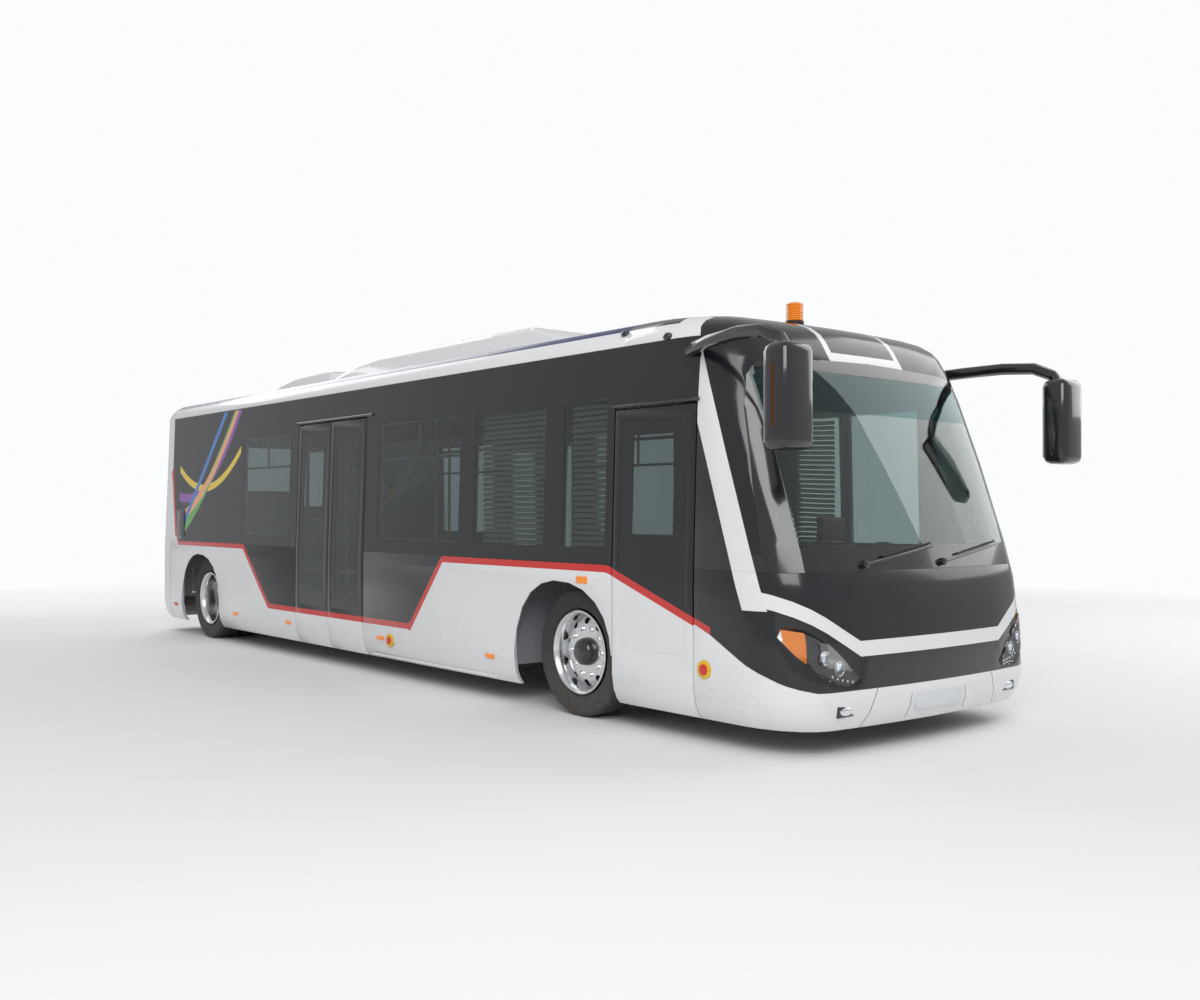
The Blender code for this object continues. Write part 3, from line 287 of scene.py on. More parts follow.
    def pillar_band(self) -> bpy.types.NodeSocket:
        """Mask of the white pillar band."""
        graph = self.graph
        near = graph.maths("ABSOLUTE", graph.maths("SUBTRACT", self.station, self.pillar_line()))
        return graph.maths("MULTIPLY", graph.maths("LESS_THAN", near, 0.085),
                           graph.maths("GREATER_THAN", self.across, 1.02))

    def mask(self) -> bpy.types.NodeSocket:
        """Black dome with white pillar bands and the white line over the windshield."""
        graph = self.graph
        band = self.pillar_band()
        cant = graph.maths("MULTIPLY", graph.between(self.z, CANT_Z, 2.665),
                           graph.maths("GREATER_THAN", self.station, -1.15))
        bar = graph.maths("MULTIPLY", graph.between(self.z, 2.424, 2.491), graph.maths("LESS_THAN", self.across, 0.385))
        legs = graph.maths("MULTIPLY", graph.between(self.across, 0.335, 0.385), graph.maths("GREATER_THAN", self.z, 2.43))
        white = graph.maths("MAXIMUM", graph.maths("MAXIMUM", band, cant), graph.maths("MAXIMUM", bar, legs))
        return graph.over(white, self.BLACK, self.WHITE)

    def roof(self) -> bpy.types.NodeSocket:
        """White roof over the navy gutter."""
        return self.graph.over(self.graph.between(self.z, 2.668, 2.716), self.WHITE, self.NAVY)

    def bumper(self) -> bpy.types.NodeSocket:
        """White bumper with painted shade: thin dark lines where the seams of its middle part and the edge of the
        plate's recess would lie in shade.
        """
        graph = self.graph
        colour: object = self.WHITE
        for foot, lean in ((0.602, 0.411), (0.273, 0.156)):
            line = graph.maths("MULTIPLY_ADD", graph.maths("SUBTRACT", 0.390, self.z), lean, foot)
            # Painted shade: a 6 mm black line stands in for the shaded gap along each seam.
            seam_shade = graph.maths("LESS_THAN", graph.maths("ABSOLUTE", graph.maths("SUBTRACT", self.across, line)), 0.003)
            low, high = (0.10, 0.50) if foot > 0.5 else (0.181, 0.330)
            ahead = graph.maths("LESS_THAN", self.station, -1.8)
            seam_shade = graph.maths("MULTIPLY", graph.maths("MULTIPLY", seam_shade, graph.between(self.z, low, high)), ahead)
            colour = graph.over(seam_shade, colour, self.BLACK)
        return colour

    def tail(self) -> bpy.types.NodeSocket:
        """Rear: white with a black window band that the red stripe runs under."""
        graph = self.graph
        band = graph.between(self.z, 1.42, CANT_Z - 0.20)
        inner = graph.maths("LESS_THAN", self.across, 1.08)
        colour = graph.over(graph.maths("MULTIPLY", band, inner), self.WHITE, self.BLACK)
        stripe = graph.maths("MULTIPLY", graph.between(self.z, 1.345, 1.395), inner)
        return graph.over(stripe, colour, self.RED)

    def paint(self, artwork: Artwork) -> bpy.types.NodeSocket:
        """Colour of one artwork."""
        return getattr(self, artwork.value)()


@dataclass(frozen=True)
class Finish:
    """One surface finish."""

    name: str
    colour: tuple[float, float, float]
    roughness: float
    metallic: float = 0.0
    coat: float = 0.0
    scale: float = 8.0
    dust: float = 0.05
    bump: float = 0.02
    mottle: float = 0.05
    artwork: Artwork = Artwork.PLAIN
    glow: float = 0.0
    grain: float = 0.0
    clear: float = 0.0

    def material(self) -> bpy.types.Material:
        """The finish's material, made the first time it is asked for."""
        known = bpy.data.materials.get("look_" + self.name)
        if known:
            return known
        made = bpy.data.materials.new("look_" + self.name)
        made.use_nodes = True
        graph = Graph(made.node_tree)
        shader = made.node_tree.nodes["Principled BSDF"]
        base = (*self.colour, 1.0)
        if self.clear:
            shader.inputs["Transmission Weight"].default_value = self.clear
            shader.inputs["IOR"].default_value = 1.45
            shader.inputs["Metallic"].default_value = 0.0
        else:
            shader.inputs["Metallic"].default_value = self.metallic
        shader.inputs["Coat Weight"].default_value = self.coat
        shader.inputs["Coat Roughness"].default_value = 0.05
        weather = graph.node("Group", node_tree=WEATHERING)
        weather.inputs["Scale"].default_value = self.scale
        weather.inputs["Dust"].default_value = self.dust
        if self.artwork is not Artwork.PLAIN:
            base = Livery(graph).paint(self.artwork)
        dark = graph.over(graph.maths("MULTIPLY", weather.outputs["Mottle"], self.mottle), base, (0.0, 0.0, 0.0, 1.0))
        graph.feed(shader.inputs["Base Color"], graph.over(weather.outputs["Dust"], dark, DUST_COLOUR))
        rough = graph.maths("MULTIPLY_ADD", weather.outputs["Mottle"], 0.5 * self.roughness, 0.75 * self.roughness)
        graph.feed(shader.inputs["Roughness"], graph.maths("ADD", rough, weather.outputs["Dust"], clamp=True))
        height = weather.outputs["Height"]
        if self.grain:
            cells = graph.node("TexVoronoi", graph.place()[0], feature="DISTANCE_TO_EDGE")
            cells.inputs["Scale"].default_value = self.grain
            height = graph.maths("MULTIPLY", cells.outputs["Distance"], 3.0, clamp=True)
        relief = graph.node("Bump")
        relief.inputs["Strength"].default_value = self.bump
        relief.inputs["Distance"].default_value = 0.002
        graph.feed(relief.inputs["Height"], height)
        graph.feed(shader.inputs["Normal"], relief.outputs[0])
        if self.glow:
            shader.inputs["Emission Color"].default_value = (*self.colour, 1.0)
            shader.inputs["Emission Strength"].default_value = self.glow
        return made


SIDE_PAINT = Finish("side_paint", (0.8, 0.8, 0.8), 0.22, coat=0.25, artwork=Artwork.SIDE)
FRONT_PAINT = Finish("front_paint", (0.8, 0.8, 0.8), 0.20, coat=0.25, artwork=Artwork.FRONT)
MASK_PAINT = Finish("mask_paint", (0.02, 0.02, 0.02), 0.18, coat=0.25, artwork=Artwork.MASK, dust=0.05)
TAIL_PAINT = Finish("tail_paint", (0.8, 0.8, 0.8), 0.22, coat=0.25, artwork=Artwork.TAIL, dust=0.08)
ROOF_PAINT = Finish("roof_paint", (0.8, 0.8, 0.8), 0.30, coat=0.5, artwork=Artwork.ROOF, scale=2.0)
BUMPER_PAINT = Finish("bumper_paint", (0.8, 0.8, 0.8), 0.24, coat=0.25, artwork=Artwork.BUMPER, dust=0.10)
WHITE_PAINT = Finish("white_paint", (0.80, 0.81, 0.82), 0.28, coat=0.6)
BLACK_GLOSS = Finish("black_gloss", (0.012, 0.012, 0.014), 0.14, coat=0.7, dust=0.05)
BLACK_RUBBER = Finish("black_rubber", (0.018, 0.018, 0.019), 0.62, bump=0.15, dust=0.2)
TYRE_RUBBER = Finish("tyre_rubber", (0.022, 0.022, 0.023), 0.68, bump=0.30, dust=0.35, scale=25.0)
ALLOY = Finish("polished_alloy", (0.78, 0.79, 0.80), 0.20, metallic=1.0, scale=30.0)
CHROME = Finish("chrome", (0.85, 0.86, 0.88), 0.06, metallic=1.0, dust=0.0)
STEEL = Finish("chassis_steel", (0.05, 0.05, 0.055), 0.48, bump=0.25, dust=0.6)
IRON = Finish("cast_iron", (0.13, 0.13, 0.14), 0.62, metallic=0.4, bump=0.6, dust=0.6, scale=40.0)
BATTERY = Finish("battery_case", (0.24, 0.26, 0.28), 0.42, bump=0.15, dust=0.5)
VINYL = Finish("floor_vinyl", (0.20, 0.21, 0.23), 0.55, bump=0.5, grain=90.0, dust=0.3)
LEATHER = Finish("seat_leather", (0.20, 0.075, 0.035), 0.42, bump=0.55, grain=260.0, dust=0.0, scale=14.0)
PLASTIC = Finish("cabin_plastic", (0.035, 0.036, 0.040), 0.55, bump=0.45, grain=420.0, dust=0.0)
GREY_TRIM = Finish("grey_trim", (0.30, 0.31, 0.32), 0.50, bump=0.20, dust=0.0)
BLIND = Finish("blind_slat", (0.62, 0.62, 0.58), 0.55, bump=0.10, dust=0.0)
AMBER = Finish("amber_lens", (0.90, 0.25, 0.01), 0.12, coat=0.6, dust=0.0, glow=0.15)
RED_LENS = Finish("red_lens", (0.60, 0.01, 0.01), 0.12, coat=0.6, dust=0.0, glow=0.12)
YELLOW = Finish("yellow_ring", (0.80, 0.50, 0.02), 0.35, dust=0.1)
TINTED = Finish("tinted_glass", (0.30, 0.35, 0.35), 0.02, clear=1.0, dust=0.0, bump=0.0, mottle=0.03)
CLEAR = Finish("clear_glass", (0.96, 0.98, 0.98), 0.01, clear=1.0, dust=0.0, bump=0.0, mottle=0.02)
WINDSCREEN = Finish("windscreen_glass", (0.52, 0.62, 0.60), 0.01, clear=1.0, dust=0.0, bump=0.0, mottle=0.02)
LAMP = Finish("lamp_glass", (0.80, 0.84, 0.88), 0.05, metallic=0.85, dust=0.0)
SUN_BAND = Finish("sun_band", (0.06, 0.30, 0.30), 0.02, clear=1.0, dust=0.0, bump=0.0, mottle=0.03)
MIRROR_GLASS = Finish("mirror_glass", (0.88, 0.90, 0.92), 0.02, metallic=1.0, dust=0.0, bump=0.0)
PLATE = Finish("blank_plate", (0.70, 0.72, 0.74), 0.38, dust=0.1)


# ---------------------------------------------------------------- modelling
def alone(item: bpy.types.Object) -> bpy.types.Object:
    """Select one object and nothing else."""
    bpy.ops.object.select_all(action="DESELECT")
    item.select_set(True)
    bpy.context.view_layer.objects.active = item
    return item


def applied(item: bpy.types.Object, kind: str, **settings: object) -> None:
    """Add a modifier and apply it."""
    alone(item)
    made = item.modifiers.new(kind.lower(), kind)
    for key, value in settings.items():
        setattr(made, key, value)
    bpy.ops.object.modifier_apply(modifier=made.name)


def settled(item: bpy.types.Object, name: str, finish: Finish, smooth: float = 35.0) -> bpy.types.Object:
    """Name a piece, put its place into its mesh, and give it its finish.

    Args:
        item: the piece.
        name: its name.
        finish: its finish, unless its mesh already has materials.
        smooth: angle in degrees under which its faces are smooth.

    Returns:
        The piece.
    """
    alone(item)
    bpy.ops.object.transform_apply(location=True, rotation=True, scale=True)
    bpy.ops.object.shade_smooth_by_angle(angle=math.radians(smooth))
    item.name = name
    item.data.name = name
    if not item.data.materials:
        item.data.materials.append(finish.material())
    return item


def riding(item: bpy.types.Object, body: str = ROOT) -> bpy.types.Object:
    """Let a piece move with a body, and report it."""
    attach(item, body)
    LOG.info("%s rides on %s", item.name, body)
    return item


def block(name: str, low: Point, high: Point, finish: Finish, bevel: float = 0.006, steps: int = 3,
          tilt: float = 0.0) -> bpy.types.Object:
    """A rounded block.

    Args:
        name: its name.
        low: its lowest corner.
        high: its highest corner.
        finish: its finish.
        bevel: the rounding of its edges.
        steps: segments of the rounding.
        tilt: turn about X in degrees.

    Returns:
        The piece.
    """
    size = [b - a for a, b in zip(low, high)]
    bpy.ops.mesh.primitive_cube_add(size=1.0, location=[(a + b) / 2 for a, b in zip(low, high)],
                                    rotation=(math.radians(tilt), 0.0, 0.0), scale=size)
    item = bpy.context.object
    bpy.ops.object.transform_apply(location=False, rotation=False, scale=True)
    applied(item, "BEVEL", width=min(bevel, min(size) * 0.45), segments=steps)
    return settled(item, name, finish)


def disc(name: str, centre: Point, radius: float, depth: float, axis: str, finish: Finish,
         sides: int = 32, bevel: float = 0.004) -> bpy.types.Object:
    """A round piece with eased rims.

    Args:
        name: its name.
        centre: its middle.
        radius: its radius.
        depth: its length along the axis.
        axis: X, Y or Z.
        finish: its finish.
        sides: corners of its outline.
        bevel: the rounding of its rims.

    Returns:
        The piece.
    """
    turn = {"X": (0.0, math.pi / 2, 0.0), "Y": (math.pi / 2, 0.0, 0.0), "Z": (0.0, 0.0, 0.0)}[axis]
    bpy.ops.mesh.primitive_cylinder_add(vertices=sides, radius=radius, depth=depth, location=centre, rotation=turn)
    item = bpy.context.object
    applied(item, "BEVEL", width=min(bevel, depth * 0.4), segments=2, limit_method="ANGLE")
    return settled(item, name, finish)


def dome(name: str, centre: Point, size: Point, finish: Finish, turns: int = 24) -> bpy.types.Object:
    """An egg-shaped lens or housing with the given half sizes."""
    bpy.ops.mesh.primitive_uv_sphere_add(segments=turns, ring_count=turns // 2, radius=1.0, location=centre, scale=size)
    return settled(bpy.context.object, name, finish, 60.0)


def bezel(name: str, centre: Point, radius: float, thick: float, finish: Finish) -> bpy.types.Object:
    """A round ring that faces forwards."""
    bpy.ops.mesh.primitive_torus_add(major_radius=radius, minor_radius=thick, major_segments=40, minor_segments=10,
                                     location=centre, rotation=(math.pi / 2, 0.0, 0.0))
    return settled(bpy.context.object, name, finish, 60.0)


def lathe(name: str, profile: tuple[tuple[float, float], ...], centre: Point, finish: Finish,
          steps: int = 96, axis: str = "X") -> bpy.types.Object:
    """A closed profile spun about an axis.

    Args:
        name: the piece's name.
        profile: (offset along the axis, radius) round the section.
        centre: a point of the axis.
        finish: the piece's finish.
        steps: faces round it.
        axis: X or Z.

    Returns:
        The piece.
    """
    bpy.ops.mesh.primitive_circle_add(vertices=len(profile), radius=1.0, location=(0.0, 0.0, 0.0))
    item = bpy.context.object
    for vertex, (offset, radius) in zip(item.data.vertices, profile):
        vertex.co = (offset, 0.0, radius) if axis == "X" else (radius, 0.0, offset)
    alone(item)
    bpy.ops.object.mode_set(mode="EDIT")
    bpy.ops.mesh.select_all(action="SELECT")
    bpy.ops.mesh.spin(steps=steps, angle=2 * math.pi, center=(0.0, 0.0, 0.0),
                      axis=(1.0, 0.0, 0.0) if axis == "X" else (0.0, 0.0, 1.0))
    bpy.ops.mesh.select_all(action="SELECT")
    bpy.ops.mesh.remove_doubles(threshold=0.00005)
    bpy.ops.mesh.normals_make_consistent(inside=False)
    bpy.ops.object.mode_set(mode="OBJECT")
    item.location = centre
    return settled(item, name, finish, 40.0)


def rod(name: str, points: list[Point], radius: float, finish: Finish) -> bpy.types.Object:
    """A round rod along points.

    Args:
        name: the piece's name.
        points: its centre line.
        radius: its radius.
        finish: its finish.

    Returns:
        The piece.
    """
    curve = bpy.data.curves.new(name, "CURVE")
    curve.dimensions = "3D"
    curve.bevel_depth = radius
    curve.bevel_resolution = 3
    curve.use_fill_caps = True
    line = curve.splines.new("POLY")
    line.points.add(len(points) - 1)
    for point, place in zip(line.points, points):
        point.co = (*place, 1.0)
    item = bpy.data.objects.new(name, curve)
    bpy.context.scene.collection.objects.link(item)
    alone(item)
    bpy.ops.object.convert(target="MESH")
    return settled(bpy.context.object, name, finish, 60.0)


def joined(name: str, items: list[bpy.types.Object]) -> bpy.types.Object:
    """Make one piece of several."""
    alone(items[0])
    for item in items:
        item.select_set(True)
    bpy.ops.object.join()
    items[0].name = name
    return items[0]


def refined(node: str, finish: Finish, bevel: float = 0.0022, angle: float = 38.0) -> bpy.types.Object:
    """A copy of a node with merged corners, eased edges and smooth faces, which stands for the node.

    Args:
        node: the node's name.
        finish: the copy's finish.
        bevel: easing of its edges, or zero.
        angle: degrees under which faces are smooth.

    Returns:
        The piece.
    """
    source = frame["nodes"][node]
    source = bpy.data.objects[source] if isinstance(source, str) else source
    item = bpy.data.objects.new("look_" + node, source.data.copy())
    bpy.context.scene.collection.objects.link(item)
    item.data.materials.clear()
    alone(item)
    bpy.ops.object.mode_set(mode="EDIT")
    bpy.ops.mesh.select_all(action="SELECT")
    bpy.ops.mesh.remove_doubles(threshold=0.00005)
    bpy.ops.mesh.dissolve_limited(angle_limit=math.radians(0.5))
    bpy.ops.object.mode_set(mode="OBJECT")
    if bevel:
        applied(item, "BEVEL", width=bevel, segments=2, limit_method="ANGLE", angle_limit=math.radians(45))
    settled(item, "look_" + node, finish, angle)
    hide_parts(node)
    return item


def cut_faces(item: bpy.types.Object, planes: list[tuple[Point, Point]]) -> None:
    """Split a mesh along planes, given as (point, normal)."""
    alone(item)
    bpy.ops.object.mode_set(mode="EDIT")
    for point, normal in planes:
        bpy.ops.mesh.select_all(action="SELECT")
        bpy.ops.mesh.bisect(plane_co=point, plane_no=normal)
    bpy.ops.object.mode_set(mode="OBJECT")


# ---------------------------------------------------------------- sub-assemblies
def body_of(node: str) -> str:
    """Name of the body that holds a node."""
    bodies = frame["record"]["behaviour"]["bodies"]
    return next(body for body, nodes in bodies.items() if node in nodes)


@dataclass
class Panels:
    """Body panels and the carried-over machinery."""

    finishes: tuple[tuple[str, Finish], ...] = (
        ("side_wall_right", SIDE_PAINT), ("side_wall_left", SIDE_PAINT), ("front_mask", MASK_PAINT),
        ("front_panel", FRONT_PAINT), ("front_bumper", BUMPER_PAINT), ("roof_shell", ROOF_PAINT),
        ("rear_shell", TAIL_PAINT), ("rear_hatch", TAIL_PAINT), ("roof_unit", WHITE_PAINT),
        ("roof_pod", WHITE_PAINT), ("mirror_right", BLACK_GLOSS), ("mirror_left", BLACK_GLOSS),
        ("chassis_frame", STEEL), ("cabin_floor", VINYL), ("front_axle", STEEL), ("rear_axle", IRON),
        ("knuckle_left", IRON), ("knuckle_right", IRON), ("drive_motor", IRON), ("battery_pack", BATTERY),
        ("dashboard", PLASTIC), ("steering_wheel", PLASTIC))
    fine: tuple[str, ...] = ("chassis_frame", "front_axle", "rear_axle", "knuckle_left", "knuckle_right",
                             "cabin_floor", "mirror_left", "mirror_right", "steering_wheel")

    def build(self) -> None:
        """Dress every panel and machine."""
        for node, finish in self.finishes:
            item = refined(node, finish, 0.0 if node in self.fine else 0.0022)
            riding(item, body_of(node))


@dataclass
class Doors:
    """Outswing door leaves with their arms, panes, seals and rails."""

    seal: float = 0.012
    rail: float = 0.011

    def build(self) -> None:
        """Dress every leaf in the frame."""
        for node in frame["nodes"]:
            if node.endswith("_leaf"):
                self.leaf(node)
            elif node.endswith("_arm"):
                riding(refined(node, BLACK_GLOSS, 0.0), body_of(node))
            elif node.endswith("_glass") and "door" in node:
                self.pane(node)

    def pane(self, node: str) -> None:
        """Door glass: painted like the side, and clear inside its black border."""
        item = refined(node, SIDE_PAINT, 0.0)
        item.data.materials.append(TINTED.material())
        low, high = (Vector(v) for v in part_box(node))
        border, sill = (0.115, 1.300) if node.startswith("front") else (0.060, 0.640)
        head = high.z - (0.100 if node.startswith("front") else 0.080)
        front, rear = low.y + border, high.y - border
        cut_faces(item, [((0, front, 0), (0, 1, 0)), ((0, rear, 0), (0, 1, 0)),
                         ((0, 0, sill), (0, 0, 1)), ((0, 0, head), (0, 0, 1))])
        for face in item.data.polygons:
            face.material_index = int(front < face.center.y < rear and sill < face.center.z < head)
        riding(item, body_of(node))

    def leaf(self, node: str) -> None:
        """Panel, rubber seals on both upright edges and the inner grab rail of one leaf."""
        body = body_of(node)
        riding(refined(node, SIDE_PAINT, 0.0022), body)
        low, high = (Vector(v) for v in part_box(node))
        side = 1 if low.x > 0 else -1
        face = side * (HALF_WIDTH - 0.050)
        for word, edge in (("front", low.y), ("rear", high.y)):
            inward = 1 if word == "front" else -1
            y = edge + inward * (self.seal / 2 + 0.001)
            strip = block(f"{node}_seal_{word}", (face - 0.010, y - self.seal / 2, low.z + 0.05),
                          (face + 0.010, y + self.seal / 2, high.z - 0.04), BLACK_RUBBER, 0.004)
            riding(strip, body)
        x = face - side * 0.075
        y = (low.y + high.y) / 2
        z = low.z + 0.72
        points = [(face - side * 0.02, y - 0.22, z), (x, y - 0.20, z), (x, y + 0.20, z + 0.0), (face - side * 0.02, y + 0.22, z)]
        riding(rod(node + "_grab_rail", points, self.rail, YELLOW), body)


@dataclass
class Glazing:
    """Side glass with clear window fields, windshield and rear glass."""

    frit_low: float = 1.235
    band_low: float = 2.080
    frit_top: float = 2.345
    frit_side: float = 1.085

    def build(self) -> None:
        """Make all panes that are fixed to the body."""
        for side, word in SIDES:
            self.side_glass(side, "side_glass_" + word)
        self.windshield()
        rear = refined("rear_glass", BLACK_GLOSS, 0.0)
        rear.data.materials.append(TINTED.material())
        low, high = (Vector(v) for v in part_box("rear_glass"))
        edges = [((low.x + 0.05, 0, 0), (1, 0, 0)), ((high.x - 0.05, 0, 0), (1, 0, 0)),
                 ((0, 0, low.z + 0.05), (0, 0, 1)), ((0, 0, high.z - 0.05), (0, 0, 1))]
        cut_faces(rear, edges)
        for face in rear.data.polygons:
            inside = low.x + 0.05 < face.center.x < high.x - 0.05 and low.z + 0.05 < face.center.z < high.z - 0.05
            face.material_index = int(inside)
        riding(rear)

    def side_glass(self, side: int, node: str) -> None:
        """One side's glass: painted black with ribbons, and clear where the windows are."""
        item = refined(node, SIDE_PAINT, 0.0)
        item.data.materials.append(TINTED.material())
        rows = [*WINDOWS, DRIVER_WINDOW] if side > 0 else list(WINDOWS)
        planes = [((0, at(s), 0), (0, 1, 0)) for row in rows for s in row]
        planes += [((0, 0, z), (0, 0, 1)) for z in (SILL, HEAD)]
        cut_faces(item, planes)
        for face in item.data.polygons:
            y, z = face.center.y, face.center.z
            clear = SILL < z < HEAD and any(at(a) < y < at(b) for a, b in rows)
            face.material_index = int(clear)
        riding(item)

    def windshield(self) -> None:
        """Windshield with a black border and a tinted band at its top."""
        item = refined("windshield", BLACK_GLOSS, 0.0)
        for finish in (WINDSCREEN, SUN_BAND):
            item.data.materials.append(finish.material())
        levels = (self.frit_low, self.band_low, self.frit_top)
        planes = [((0, 0, z), (0, 0, 1)) for z in levels]
        planes += [((s * self.frit_side, 0, 0), (1, 0, 0)) for s in (-1, 1)]
        cut_faces(item, planes)
        for face in item.data.polygons:
            z = face.center.z
            if z < self.frit_low or z > self.frit_top or abs(face.center.x) > self.frit_side:
                face.material_index = 0
            else:
                face.material_index = 2 if z > self.band_low else 1
        riding(item)


@dataclass
class Wheels:
    """Tyres with grooved tread, alloy rims, nuts and hubs."""

    steps: int = 96
    nuts: int = 10
    nut_circle: float = 0.1675
    groove: float = 0.010

    def build(self) -> None:
        """Make the four wheels."""
        for side, word in SIDES:
            body = "front_wheel_" + word
            self.tyre("front_tyre_" + word, body)
            self.rim("front_rim_" + word, side, body, 0.060)
            body = "rear_wheel_" + word
            for place in ("outer", "inner"):
                self.tyre(f"rear_tyre_{word}_{place}", body)
            self.rim("rear_rim_" + word, side, body, -0.095)

    def tyre(self, node: str, body: str) -> None:
        """A low-profile tyre with four grooves and sidewall rings."""
        low, high = (Vector(v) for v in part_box(node))
        half = (high.x - low.x) / 2
        radius = (high.z - low.z) / 2 - 0.0005
        centre = (low + high) / 2
        bead = 0.302
        section = [(-half * 0.80, bead), (-half * 0.93, bead + 0.018), (-half * 0.95, bead + 0.028),
                   (-half * 0.99, bead + 0.060), (-half, bead + 0.085), (-half * 0.985, radius - 0.030),
                   (-half * 0.94, radius - 0.012), (-half * 0.86, radius - 0.003)]
        for centre_x in (-0.60, -0.20, 0.20, 0.60):
            x = centre_x * half * 0.95
            section += [(x - 0.007, radius), (x - 0.005, radius - self.groove),
                        (x + 0.005, radius - self.groove), (x + 0.007, radius)]
        mirrored = [(-x, r) for x, r in reversed(section[:8])]
        profile = tuple(section + mirrored + [(half * 0.70, bead - 0.006), (-half * 0.70, bead - 0.006)])
        item = lathe("look_" + node, profile, tuple(centre), TYRE_RUBBER, self.steps)
        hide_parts(node)
        riding(item, body)

    def rim(self, node: str, side: int, body: str, dish: float) -> None:
        """An alloy rim: flange, barrel, disc with hand holes, nuts and hub.

        Args:
            node: the CAD rim.
            side: which side of the bus.
            body: the body that it turns with.
            dish: how far the disc's face stands outside the outer wheel's centre plane.
        """
        low, high = (Vector(v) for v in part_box(node))
        centre_y, centre_z = (low.y + high.y) / 2, (low.z + high.z) / 2
        outer_tyre = "front_tyre_" + node.split("_")[-1] if "front" in node else f"rear_tyre_{node.split('_')[-1]}_outer"
        middle = middle_of(outer_tyre).x
        radius = (high.z - low.z) / 2
        face = 0.128

        def out(offset: float) -> float:
            """Offset along X, outwards on either side."""
            return side * offset

        barrel = ((out(face), radius - 0.001), (out(face + 0.006), radius - 0.010), (out(face - 0.004), radius - 0.024),
                  (out(face - 0.050), radius - 0.040), (out(-face + 0.050), radius - 0.040),
                  (out(-face), radius - 0.024), (out(-face), radius - 0.001), (out(-face + 0.012), radius - 0.012),
                  (out(-face + 0.055), radius - 0.030), (out(face - 0.055), radius - 0.030), (out(face - 0.012), radius - 0.012))
        pieces = [lathe(node + "_barrel", barrel, (middle, centre_y, centre_z), ALLOY, self.steps)]
        edge = radius - 0.040
        plate = ((out(dish - 0.070), edge), (out(dish - 0.045), edge), (out(dish - 0.006), 0.222), (out(dish), 0.200),
                 (out(dish - 0.002), 0.128), (out(dish - 0.004), 0.100), (out(dish - 0.034), 0.100),
                 (out(dish - 0.034), 0.200), (out(dish - 0.045), 0.215))
        web = lathe(node + "_disc", plate, (middle, centre_y, centre_z), ALLOY, self.steps)
        holes = []
        for k in range(self.nuts):
            turn = 2 * math.pi * (k + 0.5) / self.nuts
            spot = (middle + out(dish - 0.03), centre_y + 0.222 * math.cos(turn), centre_z + 0.222 * math.sin(turn))
            bpy.ops.mesh.primitive_cylinder_add(vertices=20, radius=0.027, depth=0.16, location=spot,
                                                rotation=(0.0, math.pi / 2, 0.0))
            holes.append(bpy.context.object)
        cutter = joined(node + "_cutter", holes)
        applied(web, "BOOLEAN", operation="DIFFERENCE", solver="EXACT", object=cutter)
        bpy.data.objects.remove(cutter)
        pieces.append(settled(web, web.name, ALLOY, 40.0))
        for k in range(self.nuts):
            turn = 2 * math.pi * k / self.nuts
            y = centre_y + self.nut_circle * math.cos(turn)
            z = centre_z + self.nut_circle * math.sin(turn)
            pieces.append(disc(f"{node}_nut_{k}", (middle + out(dish + 0.008), y, z), 0.017, 0.024, "X", CHROME, 6, 0.003))
        hub_depth = min(0.060, 0.134 - dish) if dish > 0 else 0.120
        hub = ((out(dish - 0.030), 0.099), (out(dish + 0.010), 0.099), (out(dish + hub_depth * 0.75), 0.088),
               (out(dish + hub_depth), 0.070), (out(dish + hub_depth), 0.001), (out(dish - 0.030), 0.001))
        pieces.append(lathe(node + "_hub", hub, (middle, centre_y, centre_z), BLACK_GLOSS, 48))
        item = joined("look_" + node, pieces)
        item.data.name = item.name
        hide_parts(node)
        riding(item, body)


